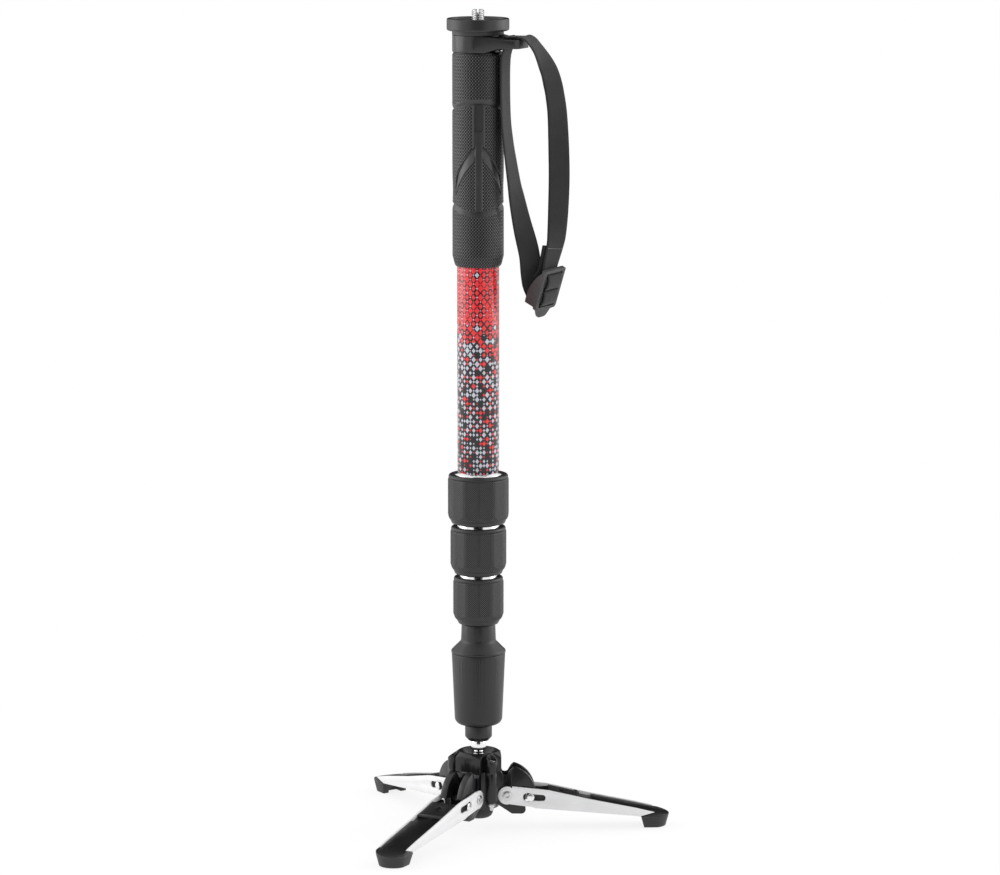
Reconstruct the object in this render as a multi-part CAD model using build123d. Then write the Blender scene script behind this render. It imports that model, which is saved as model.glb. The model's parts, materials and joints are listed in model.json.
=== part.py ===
from build123d import *
from math import acos, atan2, cos, hypot, radians, sin, tan
import os

# Camera monopod with a fluid base and three fold-up feet, column collapsed, feet spread.
# Millimetres, +Z up. The origin is on the floor, on the column's axis. Leg 1 points along +X.

# Clearances and allowances
moving_gap = 0.3
shaft_gap = 0.05
pin_gap = 0.05
film_gap = 0.5
overrun = 1.0
leg_count = 3
turn_step = 360 / leg_count


def turned(points, rounds=None):
    """Turn a closed outline of (radius, height) points about the column's axis."""
    return revolve(Plane.XZ * outline(points, rounds), Axis.Z)


def outline(points, rounds=None):
    """Make a flat face from points, with the named corners rounded."""
    corners = [(points[index], radius) for index, radius in (rounds or {}).items()]
    return rounded(make_face(Polyline(*points, close=True)), corners)


def rounded(drawing, corners):
    """Round a flat face at each (corner, radius)."""
    face = drawing.face()
    for point, radius in corners:
        corner = Vector(*point)
        nearest = min(face.vertices(), key=lambda v: (v.center() - corner).length)
        face = face.fillet_2d(radius, [nearest])
    return Sketch() + face


def plate(face, near, far):
    """Give a face drawn in (run, height) its thickness, from one y to another."""
    return extrude(Pos(0, far, 0) * (Plane.XZ * face), far - near)


def ring(outer, inner, low, high):
    """A plain ring between two heights."""
    return turned([(inner, low), (outer, low), (outer, high), (inner, high)])


def rod(radius, low, high):
    """A plain round bar between two heights."""
    return Pos(0, 0, low) * Cylinder(radius, high - low, align=(Align.CENTER, Align.CENTER, Align.MIN))


def block(low, high):
    """A box between two opposite corners."""
    size = [b - a for a, b in zip(low, high)]
    return Pos(*low) * Box(*size, align=(Align.MIN, Align.MIN, Align.MIN))


def cross_bar(radius, run, height, near, far):
    """A round bar across a leg, from one y to another."""
    return plate(Pos(run, height) * Circle(radius), near, far)


def for_leg(shape, index):
    """Turn a shape drawn on leg 1 to another leg's place."""
    return Rot(0, 0, index * turn_step) * shape


def joined(shapes):
    """Fuse a list of shapes into one."""
    first, *rest = shapes
    return first.fuse(*rest) if rest else first


def group(shapes):
    """Keep separate solids together as one piece."""
    return Compound(children=[s for shape in shapes for s in shape.solids()])


def between(table, share):
    """Read a height share from a table of (run share, height share) pairs."""
    for (run_a, high_a), (run_b, high_b) in zip(table, table[1:]):
        if share <= run_b:
            return high_a + (high_b - high_a) * (share - run_a) / (run_b - run_a)
    return table[-1][1]


# Hub: main heights
hub_floor = 15.5
seam_height = 43.3
cap_height = 13.7
cap_top = seam_height + cap_height
core_radius = 16.0
flat_radius = 16.3
cap_core_radius = 14.5
cap_round = 3.0
cap_crown_radius = 13.9
cap_edge_drop = 6.4
cap_flat_drop = 0.9

# Leg pivot and leg reach
pivot_radius = 20.4
pivot_height = 25.2
leg_reach = 139.0
leg_run = leg_reach - pivot_radius
root_radius = 6.6
side_gap = 1.2
ear_half = 9.2
plate_thickness = 1.2
plate_inner = ear_half + side_gap
plate_outer = plate_inner + plate_thickness
flat_half = plate_inner - moving_gap

# Ball and its seat
ball_radius = 9.5
ball_rise = 2.7
ball_height = seam_height + ball_rise
seat_gap = 0.1
race_radius = 12.0
race_drain_radius = 4.0
race_floor_gap = 0.9
race_low = ball_height - ball_radius - race_floor_gap
opening_radius = 7.0
opening_rise = 6.5
flare_radius = 13.6

# Ears of the hub in side view: arcs about the pivot, a saddle above and a claw below
ear_root_share = 0.75
fin_radius = 21.0
fin_peak_angle = 75.0
notch_angle = 10.5
notch_bottom = 14.2
saddle_run = 3.4
saddle_height = 39.4
saddle_side = 3.0
saddle_side_rise = 2.6
saddle_round = 2.2
peak_round = 1.6
claw_round = 3.2
claw_shares = [(0.64, -0.40), (0.66, -0.675), (0.17, -0.667), (-0.33, -0.33)]


def ears_blank():
    """The side view of one pair of ears, in (run, height), before its pin hole."""
    inner_run = core_radius * ear_root_share
    saddle_x = core_radius + saddle_run

    def from_pivot(radius, angle):
        return (
            pivot_radius + radius * cos(radians(angle)),
            pivot_height + radius * sin(radians(angle)),
        )

    peak = from_pivot(fin_radius, fin_peak_angle)
    fin_end = from_pivot(fin_radius, notch_angle)
    notch_top = from_pivot(notch_bottom, notch_angle)
    notch_low = from_pivot(notch_bottom, -notch_angle * 2)
    claw_points = [
        (pivot_radius + fin_radius * a, pivot_height + fin_radius * b) for a, b in claw_shares
    ]
    left = [
        (inner_run, claw_points[-1][1]),
        (inner_run, seam_height - overrun),
        (core_radius, seam_height - overrun),
        (saddle_x - saddle_side / 2, saddle_height),
        (saddle_x + saddle_side / 2, saddle_height),
        (peak[0] - saddle_side, peak[1] - saddle_side_rise),
        peak,
    ]
    edges = [
        Polyline(*left),
        RadiusArc(peak, fin_end, fin_radius),
        Polyline(fin_end, notch_top, notch_low, *claw_points, left[0]),
    ]
    face = make_face(Curve(children=[e for line in edges for e in line.edges()]))
    return rounded(
        face,
        [
            (left[3], saddle_round),
            (left[4], saddle_round),
            (peak, peak_round),
            (claw_points[1], claw_round),
            (claw_points[2], peak_round),
        ],
    )


# Fins on the hub
fin_inner = 4.4
recess_half = 6.9
recess_start = 17.4
recess_end = 23.3
pivot_pin_radius = 2.0

# Screw bosses of the hub
boss_place = 18.2
boss_radius = 4.1
boss_low = 21.0
screw_radius = 1.5
screw_head_radius = 2.75
screw_head_height = 3.0
screw_sink = 4.8
head_pocket_radius = 3.0
nut_radius = 3.15
nut_height = 2.6
screw_tail = 2.9
boss_turn = turn_step / 2
skirt_radius = boss_place - nut_radius - moving_gap


def boss(radius, low, high):
    """One boss, or anything round on a boss's axis, in the first gap between the legs."""
    return Rot(0, 0, boss_turn) * Pos(boss_place, 0, 0) * rod(radius, low, high)


def three(shape):
    """The shape at all three legs, or all three gaps."""
    return [for_leg(shape, i) for i in range(leg_count)]


def hub_body():
    core = turned(
        [
            (0, hub_floor),
            (skirt_radius, hub_floor),
            (skirt_radius, boss_low),
            (core_radius, boss_low),
            (core_radius, seam_height),
            (0, seam_height),
        ]
    )
    blank = plate(ears_blank(), -ear_half, ear_half)
    blank = blank - block(
        (core_radius, -fin_inner, 0), (pivot_radius + leg_reach, fin_inner, cap_top)
    )
    recess_low = pivot_height + root_radius + moving_gap
    for side in (1, -1):
        near, far = sorted((side * recess_half, side * (ear_half + overrun)))
        blank = blank - block((recess_start, near, recess_low), (recess_end, far, cap_top))
    ears = three(blank)
    bosses = three(boss(boss_radius, boss_low, seam_height))
    body = joined([core, *ears, *bosses])
    well = rod(race_radius + moving_gap, race_low - moving_gap, seam_height + overrun)
    holes = three(boss(screw_radius, boss_low - overrun, seam_height + overrun))
    pins = three(
        cross_bar(pivot_pin_radius, pivot_radius, pivot_height, -plate_outer, plate_outer)
    )
    socket = rod(foot_stud_radius, hub_floor - overrun, hub_floor + foot_stud_height)
    return body.cut(well, socket, *holes, *pins)


# Rubber foot under the hub
base_foot_radius = 10.5
base_foot_low = 7.0
base_foot_round = 4.5
foot_stud_radius = 4.0
foot_stud_height = 5.0


def base_foot():
    dome = turned(
        [
            (0, base_foot_low),
            (base_foot_radius, base_foot_low),
            (base_foot_radius, hub_floor),
            (0, hub_floor),
        ],
        {1: base_foot_round},
    )
    return dome + rod(foot_stud_radius, hub_floor, hub_floor + foot_stud_height)


# Pocket in each flat face of the cap
pocket_half = 2.9
pocket_depth = 0.9
pocket_top = 4.0


def hub_cap():
    core = rod(cap_core_radius, seam_height, cap_top)
    flat_side = outline(
        [
            (0, seam_height),
            (flat_radius, seam_height),
            (flat_radius, cap_top - cap_flat_drop),
            (flat_radius - cap_round, cap_top),
            (0, cap_top),
        ],
        {2: cap_round},
    )
    flats = three(plate(flat_side, -flat_half, flat_half))
    bosses = three(boss(boss_radius, seam_height, cap_top))
    body = joined([core, *flats, *bosses])
    dome_radius = boss_place + boss_radius
    crown = turned(
        [
            (0, seam_height),
            (dome_radius + overrun, seam_height),
            (dome_radius + overrun, cap_top - cap_edge_drop),
            (cap_crown_radius, cap_top),
            (0, cap_top),
        ],
        {3: cap_round},
    )
    body = body & crown
    seat = Pos(0, 0, ball_height) * Sphere(ball_radius + moving_gap)
    mouth = turned(
        [
            (0, seam_height - overrun),
            (opening_radius, seam_height - overrun),
            (opening_radius, ball_height + opening_rise),
            (flare_radius, cap_top),
            (flare_radius, cap_top + overrun),
            (0, cap_top + overrun),
        ]
    )
    pocket_face = flat_radius - pocket_depth
    pockets = []
    for i in range(leg_count):
        box = block(
            (pocket_face, -pocket_half, seam_height - overrun),
            (flat_radius + overrun, pocket_half, cap_top - pocket_top - pocket_half),
        )
        arch = Pos(pocket_face, 0, cap_top - pocket_top - pocket_half) * (
            Rot(0, 90, 0)
            * Cylinder(
                pocket_half, pocket_depth + overrun, align=(Align.CENTER, Align.CENTER, Align.MIN)
            )
        )
        pockets.append(for_leg(box + arch, i))
    holes = three(boss(screw_radius, seam_height - overrun, cap_top + overrun))
    heads = three(
        boss(head_pocket_radius, cap_top - screw_sink - screw_head_height, cap_top + overrun)
    )
    return body.cut(seat, mouth, *pockets, *holes, *heads)


def hub_screws():
    head_low = cap_top - screw_sink - screw_head_height
    screws = []
    for i in range(leg_count):
        shank = boss(screw_radius, boss_low - nut_height - screw_tail, head_low)
        head = boss(screw_head_radius, head_low, head_low + screw_head_height)
        hexagon = Rot(0, 0, boss_turn) * Pos(boss_place, 0, head_low + screw_head_height / 2)
        key = hexagon * extrude(RegularPolygon(screw_radius, 6), screw_head_height)
        screws.append(for_leg((shank + head) - key, i))
    return group(screws)


def hub_nuts():
    nuts = []
    for i in range(leg_count):
        place = Rot(0, 0, boss_turn) * Pos(boss_place, 0, boss_low - nut_height)
        nut = place * extrude(RegularPolygon(nut_radius, 6), nut_height)
        nuts.append(for_leg(nut - boss(screw_radius, 0, boss_low), i))
    return group(nuts)


def ball_race():
    body = rod(race_radius, race_low, seam_height - moving_gap)
    seat = Pos(0, 0, ball_height) * Sphere(ball_radius + seat_gap)
    drain = rod(race_drain_radius, race_low - overrun, ball_height)
    return body.cut(seat, drain)


# Pivot pins of the legs
pivot_rim_radius = 3.4
pivot_rim_height = 0.45
pivot_head_radius = 2.5
pivot_head_height = 0.95
pivot_socket_radius = 1.3
pivot_socket_depth = 0.5
pivot_washer_radius = 3.6
axial_gap = 0.1


def pivot_pin(index):
    """One rivet with its two heads and the two washers that keep the plates off the ears."""
    head_start = plate_outer + axial_gap
    end = head_start + pivot_head_height
    parts = [cross_bar(pivot_pin_radius, pivot_radius, pivot_height, -end, end)]
    for side in (1, -1):
        for radius, a, b in (
            (pivot_rim_radius, head_start, head_start + pivot_rim_height),
            (pivot_head_radius, head_start, end),
            (pivot_washer_radius, ear_half, plate_inner - axial_gap),
        ):
            near, far = sorted((side * a, side * b))
            parts.append(cross_bar(radius, pivot_radius, pivot_height, near, far))
    pin = joined(parts)
    for side in (1, -1):
        near, far = sorted((side * (end - pivot_socket_depth), side * (end + overrun)))
        pin = pin - cross_bar(pivot_socket_radius, pivot_radius, pivot_height, near, far)
    return for_leg(pin, index)


# Leg side view, as shares of the leg's run and of the pivot's height
plate_top_shares = [
    (0.032, 1.270),
    (0.256, 1.143),
    (0.509, 0.869),
    (0.793, 0.599),
    (0.905, 0.472),
    (1.0, 0.385),
]
plate_low_shares = [
    (0.018, 0.742),
    (0.152, 0.655),
    (0.174, 0.619),
    (0.494, 0.492),
    (0.815, 0.353),
]


def run_at(share):
    return pivot_radius + leg_run * share


def top_at(run):
    """Height of the side plates' upper edge at a run."""
    return pivot_height * between(plate_top_shares, (run - pivot_radius) / leg_run)


def low_at(run):
    """Height of the side plates' lower edge at a run."""
    return pivot_height * between(plate_low_shares, (run - pivot_radius) / leg_run)


# Lock slot in the side plates, and the stud that rides in it
stud_run = 37.5
slot_drop_angle = 4.7
slot_back = 2.4
slot_end_radius = 3.1
slot_half = 2.4
stud_radius = 1.9
stud_head_radius = 2.7
stud_head_height = 1.0
lock_travel = 8.0
slot_ahead = lock_travel + slot_half - stud_radius
stud_height = pivot_height - (stud_run - pivot_radius) * tan(radians(slot_drop_angle))


def along_slot(distance):
    """A point on the stud's line, a distance outward from its rest place."""
    return (
        stud_run + distance * cos(radians(slot_drop_angle)),
        stud_height - distance * sin(radians(slot_drop_angle)),
    )


def plate_face():
    """One side plate's outline with its lock slot and pivot hole."""
    foot_top = foot_height
    top = [(run_at(a), pivot_height * b) for a, b in plate_top_shares[:-1]]
    low = [(run_at(a), pivot_height * b) for a, b in plate_low_shares]
    tip = (run_at(plate_end_share), foot_top + (top[-1][1] - foot_top) * plate_tip_share)
    body = outline([*top, tip, *reversed(low)])
    body = body + Pos(pivot_radius, pivot_height) * Circle(root_radius)
    start, finish = along_slot(-slot_back), along_slot(slot_ahead)
    slot = Pos(*start) * Circle(slot_end_radius) + Pos(*finish) * Circle(slot_half)
    lane = outline(
        [
            (start[0], start[1] - slot_half),
            (finish[0], finish[1] - slot_half),
            (finish[0], finish[1] + slot_half),
            (start[0], start[1] + slot_half),
        ]
    )
    pin_hole = Pos(pivot_radius, pivot_height) * Circle(pivot_pin_radius + pin_gap)
    return body - slot - lane - pin_hole


def side_plates():
    face = plate_face()
    return [
        plate(face, plate_inner, plate_outer),
        plate(face, -plate_outer, -plate_inner),
    ]


# Cover between the side plates, open underneath
skin = 1.6
plate_tip_share = 0.33
cover_sink = 0.7
slider_start = 51.0
slider_end = 73.5
slider_skin = 1.3
cover_start = 57.0
cover_lift = 1.0
tray_end_gap = 0.6
rib_count = 4
rib_thickness = 1.4
spring_wall_run = 73.0
spring_wall_height = 8.0
plate_end_share = 0.84
cover_lap_share = 0.03
nose_share = 0.72


def nose_face(reach, half, start):
    """Plan outline of a leg's end: straight sides and a rounded nose."""
    nose = half * nose_share
    middle = reach - nose
    sides = [
        Polyline((middle, -half), (start, -half), (start, half), (middle, half)),
        ThreePointArc((middle, half), (reach, 0), (middle, -half)),
    ]
    return make_face(Curve(children=[e for line in sides for e in line.edges()]))


def cover_side(top_drop, start, end, floor):
    """Side outline under the cover's top line between two runs."""
    tops = [(start, top_at(start) - top_drop)]
    for share, _ in plate_top_shares:
        run = run_at(share)
        if start < run < end:
            tops.append((run, top_at(run) - top_drop))
    tops.append((end, top_at(end) - top_drop))
    return outline([*tops, (end, floor), (start, floor)])


def leg_cover():
    end_run = run_at(plate_end_share)
    wide_start = run_at(plate_end_share)
    lows = [
        (run, low_at(run) + cover_lift) for run in (cover_start, run_at(plate_end_share - cover_lap_share))
    ]
    belly = plate(cover_side(cover_sink, cover_start, leg_reach, foot_height), -plate_inner, plate_inner)
    under = plate(
        outline([(lows[0][0] - overrun, 0), (lows[1][0], 0), lows[1], (lows[0][0] - overrun, lows[0][1])]),
        -leg_reach,
        leg_reach,
    )
    nose = extrude(nose_face(leg_reach, plate_outer, wide_start), pivot_height)
    tip_side = plate(
        cover_side(cover_sink, wide_start, leg_reach, foot_height), -leg_reach, leg_reach
    )
    tip = nose & tip_side
    inside_nose = extrude(nose_face(leg_reach, plate_outer, cover_start - overrun), pivot_height)
    body = (belly - under) & inside_nose
    body = body + tip.cut(*side_plates())
    hollow_side = cover_side(cover_sink + skin, cover_start - overrun, end_run, 0)
    hollow = plate(hollow_side, skin - plate_inner, plate_inner - skin)
    body = body - hollow

    tray_end = slider_end + lock_travel + tray_end_gap
    tray_drop = cover_sink + slider_skin + moving_gap
    tray = plate(
        outline(
            [
                (cover_start - overrun, top_at(cover_start) + overrun),
                (tray_end, top_at(tray_end) + overrun),
                (tray_end, top_at(tray_end) - tray_drop),
                (cover_start - overrun, top_at(cover_start - overrun) - tray_drop),
            ]
        ),
        -leg_reach,
        leg_reach,
    )
    floor_side = outline(
        [
            (cover_start, top_at(cover_start) - tray_drop),
            (tray_end + skin, top_at(tray_end + skin) - tray_drop),
            (tray_end + skin, top_at(tray_end + skin) - tray_drop - skin),
            (cover_start, top_at(cover_start) - tray_drop - skin),
        ]
    )
    body = body - tray + plate(floor_side, -plate_inner, plate_inner)
    lane = block(
        (cover_start - overrun, -lug_half - moving_gap, 0),
        (spring_wall_run, lug_half + moving_gap, pivot_height * 2),
    )
    arm_lanes = []
    for side in (1, -1):
        near, far = sorted((side * (arm_inner - moving_gap), side * leg_reach))
        arm_lanes.append(
            block((0, near, 0), (arm_end + lock_travel + moving_gap, far, pivot_height * 2))
        )
    body = body - lane
    for cut in arm_lanes:
        body = body - (cut & inside_nose)
    for i in range(rib_count):
        start = spring_wall_run + (end_run - spring_wall_run) * i / rib_count
        floor = top_at(start) - spring_wall_height - skin
        low = max(floor, low_at(start) + cover_lift) if i else floor
        rib = plate(
            outline(
                [
                    (start, low),
                    (start + rib_thickness, low),
                    (start + rib_thickness, top_at(start + rib_thickness) - tray_drop - skin / 2),
                    (start, top_at(start) - tray_drop - skin / 2),
                ]
            ),
            skin / 2 - plate_inner,
            plate_inner - skin / 2,
        )
        body = body + rib
    return body


# Rubber foot of a leg
foot_height = 8.6
foot_length = 21.0
foot_start = leg_reach - foot_length
foot_draft = 2.4
foot_side_share = 0.8
foot_arch_half = 5.2
foot_arch_length = 9.0
foot_arch_height = 5.0


def leg_foot():
    top = Pos(0, 0, foot_height) * nose_face(leg_reach, plate_outer, foot_start)
    low = nose_face(leg_reach - foot_draft, plate_outer - foot_draft * foot_side_share, foot_start + foot_draft)
    arch_face = outline(
        [
            (-foot_arch_half, -overrun),
            (foot_arch_half, -overrun),
            (foot_arch_half, foot_arch_height),
            (-foot_arch_half, foot_arch_height),
        ],
        {2: foot_arch_half / 2, 3: foot_arch_half / 2},
    )
    return loft([low, top], ruled=True) - extrude(Plane.YZ * arch_face, foot_start + foot_arch_length)


# Lock slider: a plate on top with a finger ridge, two arms to the studs, and a spring lug
arm_inner = 9.5
arm_thickness = 0.6
arm_half = 3.0
arm_end = 62.0
lug_start = 57.5
lug_length = 2.0
lug_half = 3.2
lug_depth = 9.6
eye_radius = 2.3
eye_run = 59.5
ridge_run = 71.2
ridge_width = 1.8
ridge_height = 1.0


def lock_slider():
    arm_outer = arm_inner + arm_thickness
    top = [(run, top_at(run) - cover_sink) for run in (slider_start, slider_end)]
    deck_side = outline(
        [
            (top[0][0], top[0][1] - slider_skin),
            (top[1][0], top[1][1] - slider_skin),
            top[1],
            top[0],
        ]
    )
    deck = plate(deck_side, -arm_outer, arm_outer)
    ridge_top = top_at(ridge_run) - cover_sink
    ridge = plate(
        outline(
            [
                (ridge_run - ridge_width, ridge_top - slider_skin / 2),
                (ridge_run + ridge_width, ridge_top - slider_skin),
                (ridge_run + ridge_width / 2, ridge_top + ridge_height / 2),
                (ridge_run - ridge_width / 2, ridge_top + ridge_height),
            ]
        ),
        -arm_inner,
        arm_inner,
    )
    eye = Pos(eye_run, 0, 0) * rod(eye_radius, 0, pivot_height * 2)
    lug_top = top_at(lug_start + lug_length) - cover_sink - slider_skin / 2
    lug = block(
        (lug_start, -lug_half, lug_top - lug_depth), (lug_start + lug_length, lug_half, lug_top)
    )
    arm_high = top_at(arm_end) - cover_sink - slider_skin / 2
    arm_side = outline(
        [
            (stud_run, stud_height - arm_half),
            (slider_start, stud_height - arm_half),
            (arm_end, arm_high - arm_half),
            (arm_end, arm_high),
            (slider_start, top_at(slider_start) - cover_sink - slider_skin / 2),
            (slider_start - slider_skin, stud_height + arm_half),
            (stud_run, stud_height + arm_half),
        ]
    ) + Pos(stud_run, stud_height) * Circle(arm_half)
    arm_side = arm_side - Pos(stud_run, stud_height) * Circle(stud_radius)
    arms = [plate(arm_side, arm_inner, arm_outer), plate(arm_side, -arm_outer, -arm_inner)]
    return joined([deck - eye, ridge, lug, *arms])


def lock_studs():
    shank_end = plate_outer + moving_gap
    studs = []
    for side in (1, -1):
        near, far = sorted((side * arm_inner, side * shank_end))
        shank = cross_bar(stud_radius, stud_run, stud_height, near, far)
        near, far = sorted((side * shank_end, side * (shank_end + stud_head_height)))
        head = cross_bar(stud_head_radius, stud_run, stud_height, near, far)
        studs.append(shank + head)
    return group(studs)


# Return spring between the slider's lug and the wall in the cover
spring_radius = 1.9
spring_wire = 0.3
spring_turns = 6
spring_end_gap = 0.05


def lock_spring():
    start = lug_start + lug_length
    end = spring_wire + spring_end_gap
    length = spring_wall_run - start - 2 * end
    middle = top_at(start) - cover_sink - slider_skin / 2 - lug_depth + spring_radius + 2 * spring_wire
    pitch = length / spring_turns
    coil = Helix(pitch, pitch * spring_turns, spring_radius)
    section = Plane(origin=coil @ 0, z_dir=coil % 0) * Circle(spring_wire)
    wire = sweep(section, path=coil)
    return Pos(start + end, 0, middle) * Rot(0, 90, 0) * wire


# Stem with the ball at its foot
waist_radius = 3.5
collar_radius = 5.5
collar_sink = 0.8
collar_height = 7.8
collar_chamfer = 1.6
journal_radius = 4.0
collar_low = cap_top - collar_sink
collar_high = collar_low + collar_height
stem_nut_radius = 6.5
stem_nut_height = 4.0

# Fluid housing
nose_gap = moving_gap
nose_low = collar_high + nose_gap
nose_tip_radius = 7.15
nose_radius = 9.8
nose_taper = 2.9
nose_height = 11.4
nose_seam = 0.9
housing_low = nose_low + nose_height + nose_seam
housing_height = 52.9
housing_top = housing_low + housing_height
housing_top_radius = 19.4
housing_low_radius = 17.1
housing_round = 5.0
housing_bore = 15.1
housing_floor = 5.5
bearing_radius = 8.0
bearing_height = 5.0

# Cap over the housing, with the neck that holds the lowest tube
shoulder_radius = 19.7
shoulder_rise = 1.7
shoulder_slope = 7.0
neck_low_radius = 12.7
neck_top_radius = 12.2
neck_height = 12.5
base_top = housing_top + shoulder_rise + shoulder_slope + neck_height
spigot_depth = 11.5
tube_seat = 4.7

# Damper drum on the stem
drum_low_gap = 2.0
drum_height = 27.0
drum_rim = 2.4
drum_groove = 1.6
drum_groove_count = 4
drum_low = housing_low + housing_floor + drum_low_gap
drum_high = drum_low + drum_height
stem_tail = 8.0
stem_top = drum_high + stem_nut_height + stem_tail


def ball_stem():
    ball = Pos(0, 0, ball_height) * Sphere(ball_radius)
    post = turned(
        [
            (0, ball_height),
            (waist_radius, ball_height),
            (waist_radius, collar_low),
            (collar_radius - collar_chamfer, collar_low),
            (collar_radius, collar_low + collar_chamfer),
            (collar_radius, collar_high),
            (journal_radius, collar_high),
            (journal_radius, stem_top),
            (0, stem_top),
        ]
    )
    return ball + post


def nose_bush():
    return turned(
        [
            (journal_radius + shaft_gap, nose_low),
            (nose_tip_radius, nose_low),
            (nose_radius, nose_low + nose_taper),
            (nose_radius, nose_low + nose_height),
            (bearing_radius, nose_low + nose_height),
            (bearing_radius, housing_low + overrun),
            (journal_radius + shaft_gap, housing_low + overrun),
        ],
        {2: nose_taper / 2},
    )


def pan_housing():
    shell = turned(
        [
            (bearing_radius, housing_low),
            (housing_low_radius, housing_low),
            (housing_top_radius, housing_top),
            (housing_bore, housing_top),
            (housing_bore, housing_low + housing_floor),
            (bearing_radius, housing_low + housing_floor),
        ],
        {1: housing_round},
    )
    return shell


def shaft_bearings():
    low = housing_low + overrun
    high = housing_top - spigot_depth
    bore = journal_radius + shaft_gap
    return group(
        [
            ring(bearing_radius, bore, low, housing_low + housing_floor),
            ring(bearing_radius, bore, high, high + bearing_height),
        ]
    )


def damper_drum():
    drum = ring(housing_bore - film_gap, journal_radius, drum_low, drum_high)
    pitch = drum_height / drum_groove_count
    for i in range(drum_groove_count):
        middle = drum_low + pitch * (i + 0.5)
        groove = ring(
            housing_bore,
            housing_bore - film_gap - drum_rim,
            middle - drum_groove / 2,
            middle + drum_groove / 2,
        )
        drum = drum - groove
    return drum


def stem_nut():
    nut = Pos(0, 0, drum_high) * extrude(RegularPolygon(stem_nut_radius, 6), stem_nut_height)
    return nut - rod(journal_radius, drum_high - overrun, stem_top + overrun)


def pan_cap():
    body = turned(
        [
            (bearing_radius, housing_top - spigot_depth),
            (housing_bore, housing_top - spigot_depth),
            (housing_bore, housing_top),
            (shoulder_radius, housing_top),
            (shoulder_radius, housing_top + shoulder_rise),
            (neck_low_radius, housing_top + shoulder_rise + shoulder_slope),
            (neck_top_radius, base_top),
            (0, base_top),
            (0, housing_top - spigot_depth + bearing_height + overrun),
            (bearing_radius, housing_top - spigot_depth + bearing_height + overrun),
        ],
        {5: shoulder_slope / 2},
    )
    bore = rod(tube_radii[-1], housing_top + tube_seat, base_top + overrun)
    room = rod(bearing_radius - overrun, housing_top - spigot_depth, housing_top)
    return body.cut(bore, room)


# Telescoping tubes, thickest first
tube_radii = [15.0, 13.15, 11.3, 9.45]
tube_wall = 1.2

# Twist locks, top one first
lock_radii = [21.95, 20.2, 18.25]
lock_foot_radii = [19.2, 17.0, 14.35]
lock_heights = [35.6, 34.4, 34.3]
lock_gap = 0.6
cone_rise = 1.9
cone_sink = 0.6
cone_bands = [0.2, 1.5, 1.5]
sleeve_wall = 2.2
nut_wall = 2.0
nut_lip = 2.4
nut_foot = 3.0
lip_round = 1.4
lock_taper_height = 8.1
lock_draws = [1.0, 1.5, 1.8]
flange_height = 3.0
nut_bore_gap = 0.4
collet_height = 6.4
collet_thin = 1.0
collet_thick = 2.1
collet_slit = 1.5
tube_rest = 12.0
shoulder_height = 2.0
facet_count = 12
grip_lap = 1.5

lock_lows = [0, 0, 0]
lock_lows[2] = base_top + lock_gap
for index in (1, 0):
    lock_lows[index] = lock_lows[index + 1] + lock_heights[index + 1] + cone_rise + lock_gap
cone_top = lock_lows[0] + lock_heights[0] + cone_rise

# Grip on the upper tube and the head
bare_length = 149.0
grip_low = cone_top + bare_length
grip_radius = 18.3
grip_length = 151.6
grip_high = grip_low + grip_length
grip_taper_height = 7.0
grip_foot_radius = 15.9
waist_depth = 0.4
waist_share = 0.36
waist_half = 8.0
band_share = 0.745
foot_band_share = 0.288
band_half = 0.8
band_depth = 0.5

ledge_height = 1.1
ledge_radius = 17.6
collar_gap = moving_gap
strap_collar_height = 11.7
strap_collar_wall = 3.0
strap_collar_low = grip_high + ledge_height + collar_gap
strap_collar_high = strap_collar_low + strap_collar_height
head_radius = 15.0
head_high = strap_collar_high + collar_gap
plug_length = 24.0
plug_bottom = grip_high - plug_length

neck_radius = 18.4
plate_neck_height = 2.7
disc_radius = 22.25
disc_height = 8.8
disc_round = 1.7
disc_dish = 1.2
rim_width = 3.2
pad_height = 0.8
pad_bore_gap = 1.2
stud_rise = 6.2
screw_thread_radius = 4.7625
screw_shank_radius = 4.2
screw_length = 30.0
screw_slot_width = 1.6
screw_slot_depth = 2.0
disc_low = head_high + plate_neck_height
disc_top = disc_low + disc_height
dish_floor = disc_top - disc_dish - pad_height
screw_top = disc_top + stud_rise

# Guides on the inner tubes and the staggered tops of the tubes
guide_length = 18.0
guide_gap = 0.1
top_stagger = 4.0
stop_gap = 1.0


def tube_top(index):
    """Height of a tube's upper end."""
    if index == 0:
        return grip_high
    return plug_bottom - top_stagger * index


def tube_bottom(index):
    """Height of a tube's lower end: in its lock's sleeve, or in the neck of the base."""
    if index == len(tube_radii) - 1:
        return housing_top + tube_seat
    return lock_lows[index] + tube_rest


def tube(index):
    outer = tube_radii[index]
    return ring(outer, outer - tube_wall, tube_bottom(index), tube_top(index))


def tube_guide(index):
    """Sleeve on the top end of an inner tube, running in the bore of the next tube out."""
    bore = tube_radii[index - 1] - tube_wall
    return ring(
        bore - guide_gap, tube_radii[index], tube_top(index) - guide_length, tube_top(index)
    )


def slide_travel(index):
    """How far a tube pulls off the next one in, before the guide meets the lock."""
    guide_bottom = tube_top(index + 1) - guide_length
    return guide_bottom - tube_bottom(index) - stop_gap


def lock_sleeve(index):
    outer = tube_radii[index]
    inner = tube_radii[index + 1]
    low = lock_lows[index]
    top = low + lock_heights[index]
    seat_top = low + flange_height + moving_gap + collet_height
    wide = outer + sleeve_wall
    return turned(
        [
            (inner + collet_thick, low + flange_height + moving_gap),
            (wide, low + flange_height + moving_gap),
            (wide, top + cone_bands[index]),
            (outer, top + cone_rise),
            (outer, tube_bottom(index)),
            (inner + moving_gap, tube_bottom(index)),
            (inner + moving_gap, seat_top),
            (inner + collet_thin, seat_top),
        ]
    )


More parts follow.
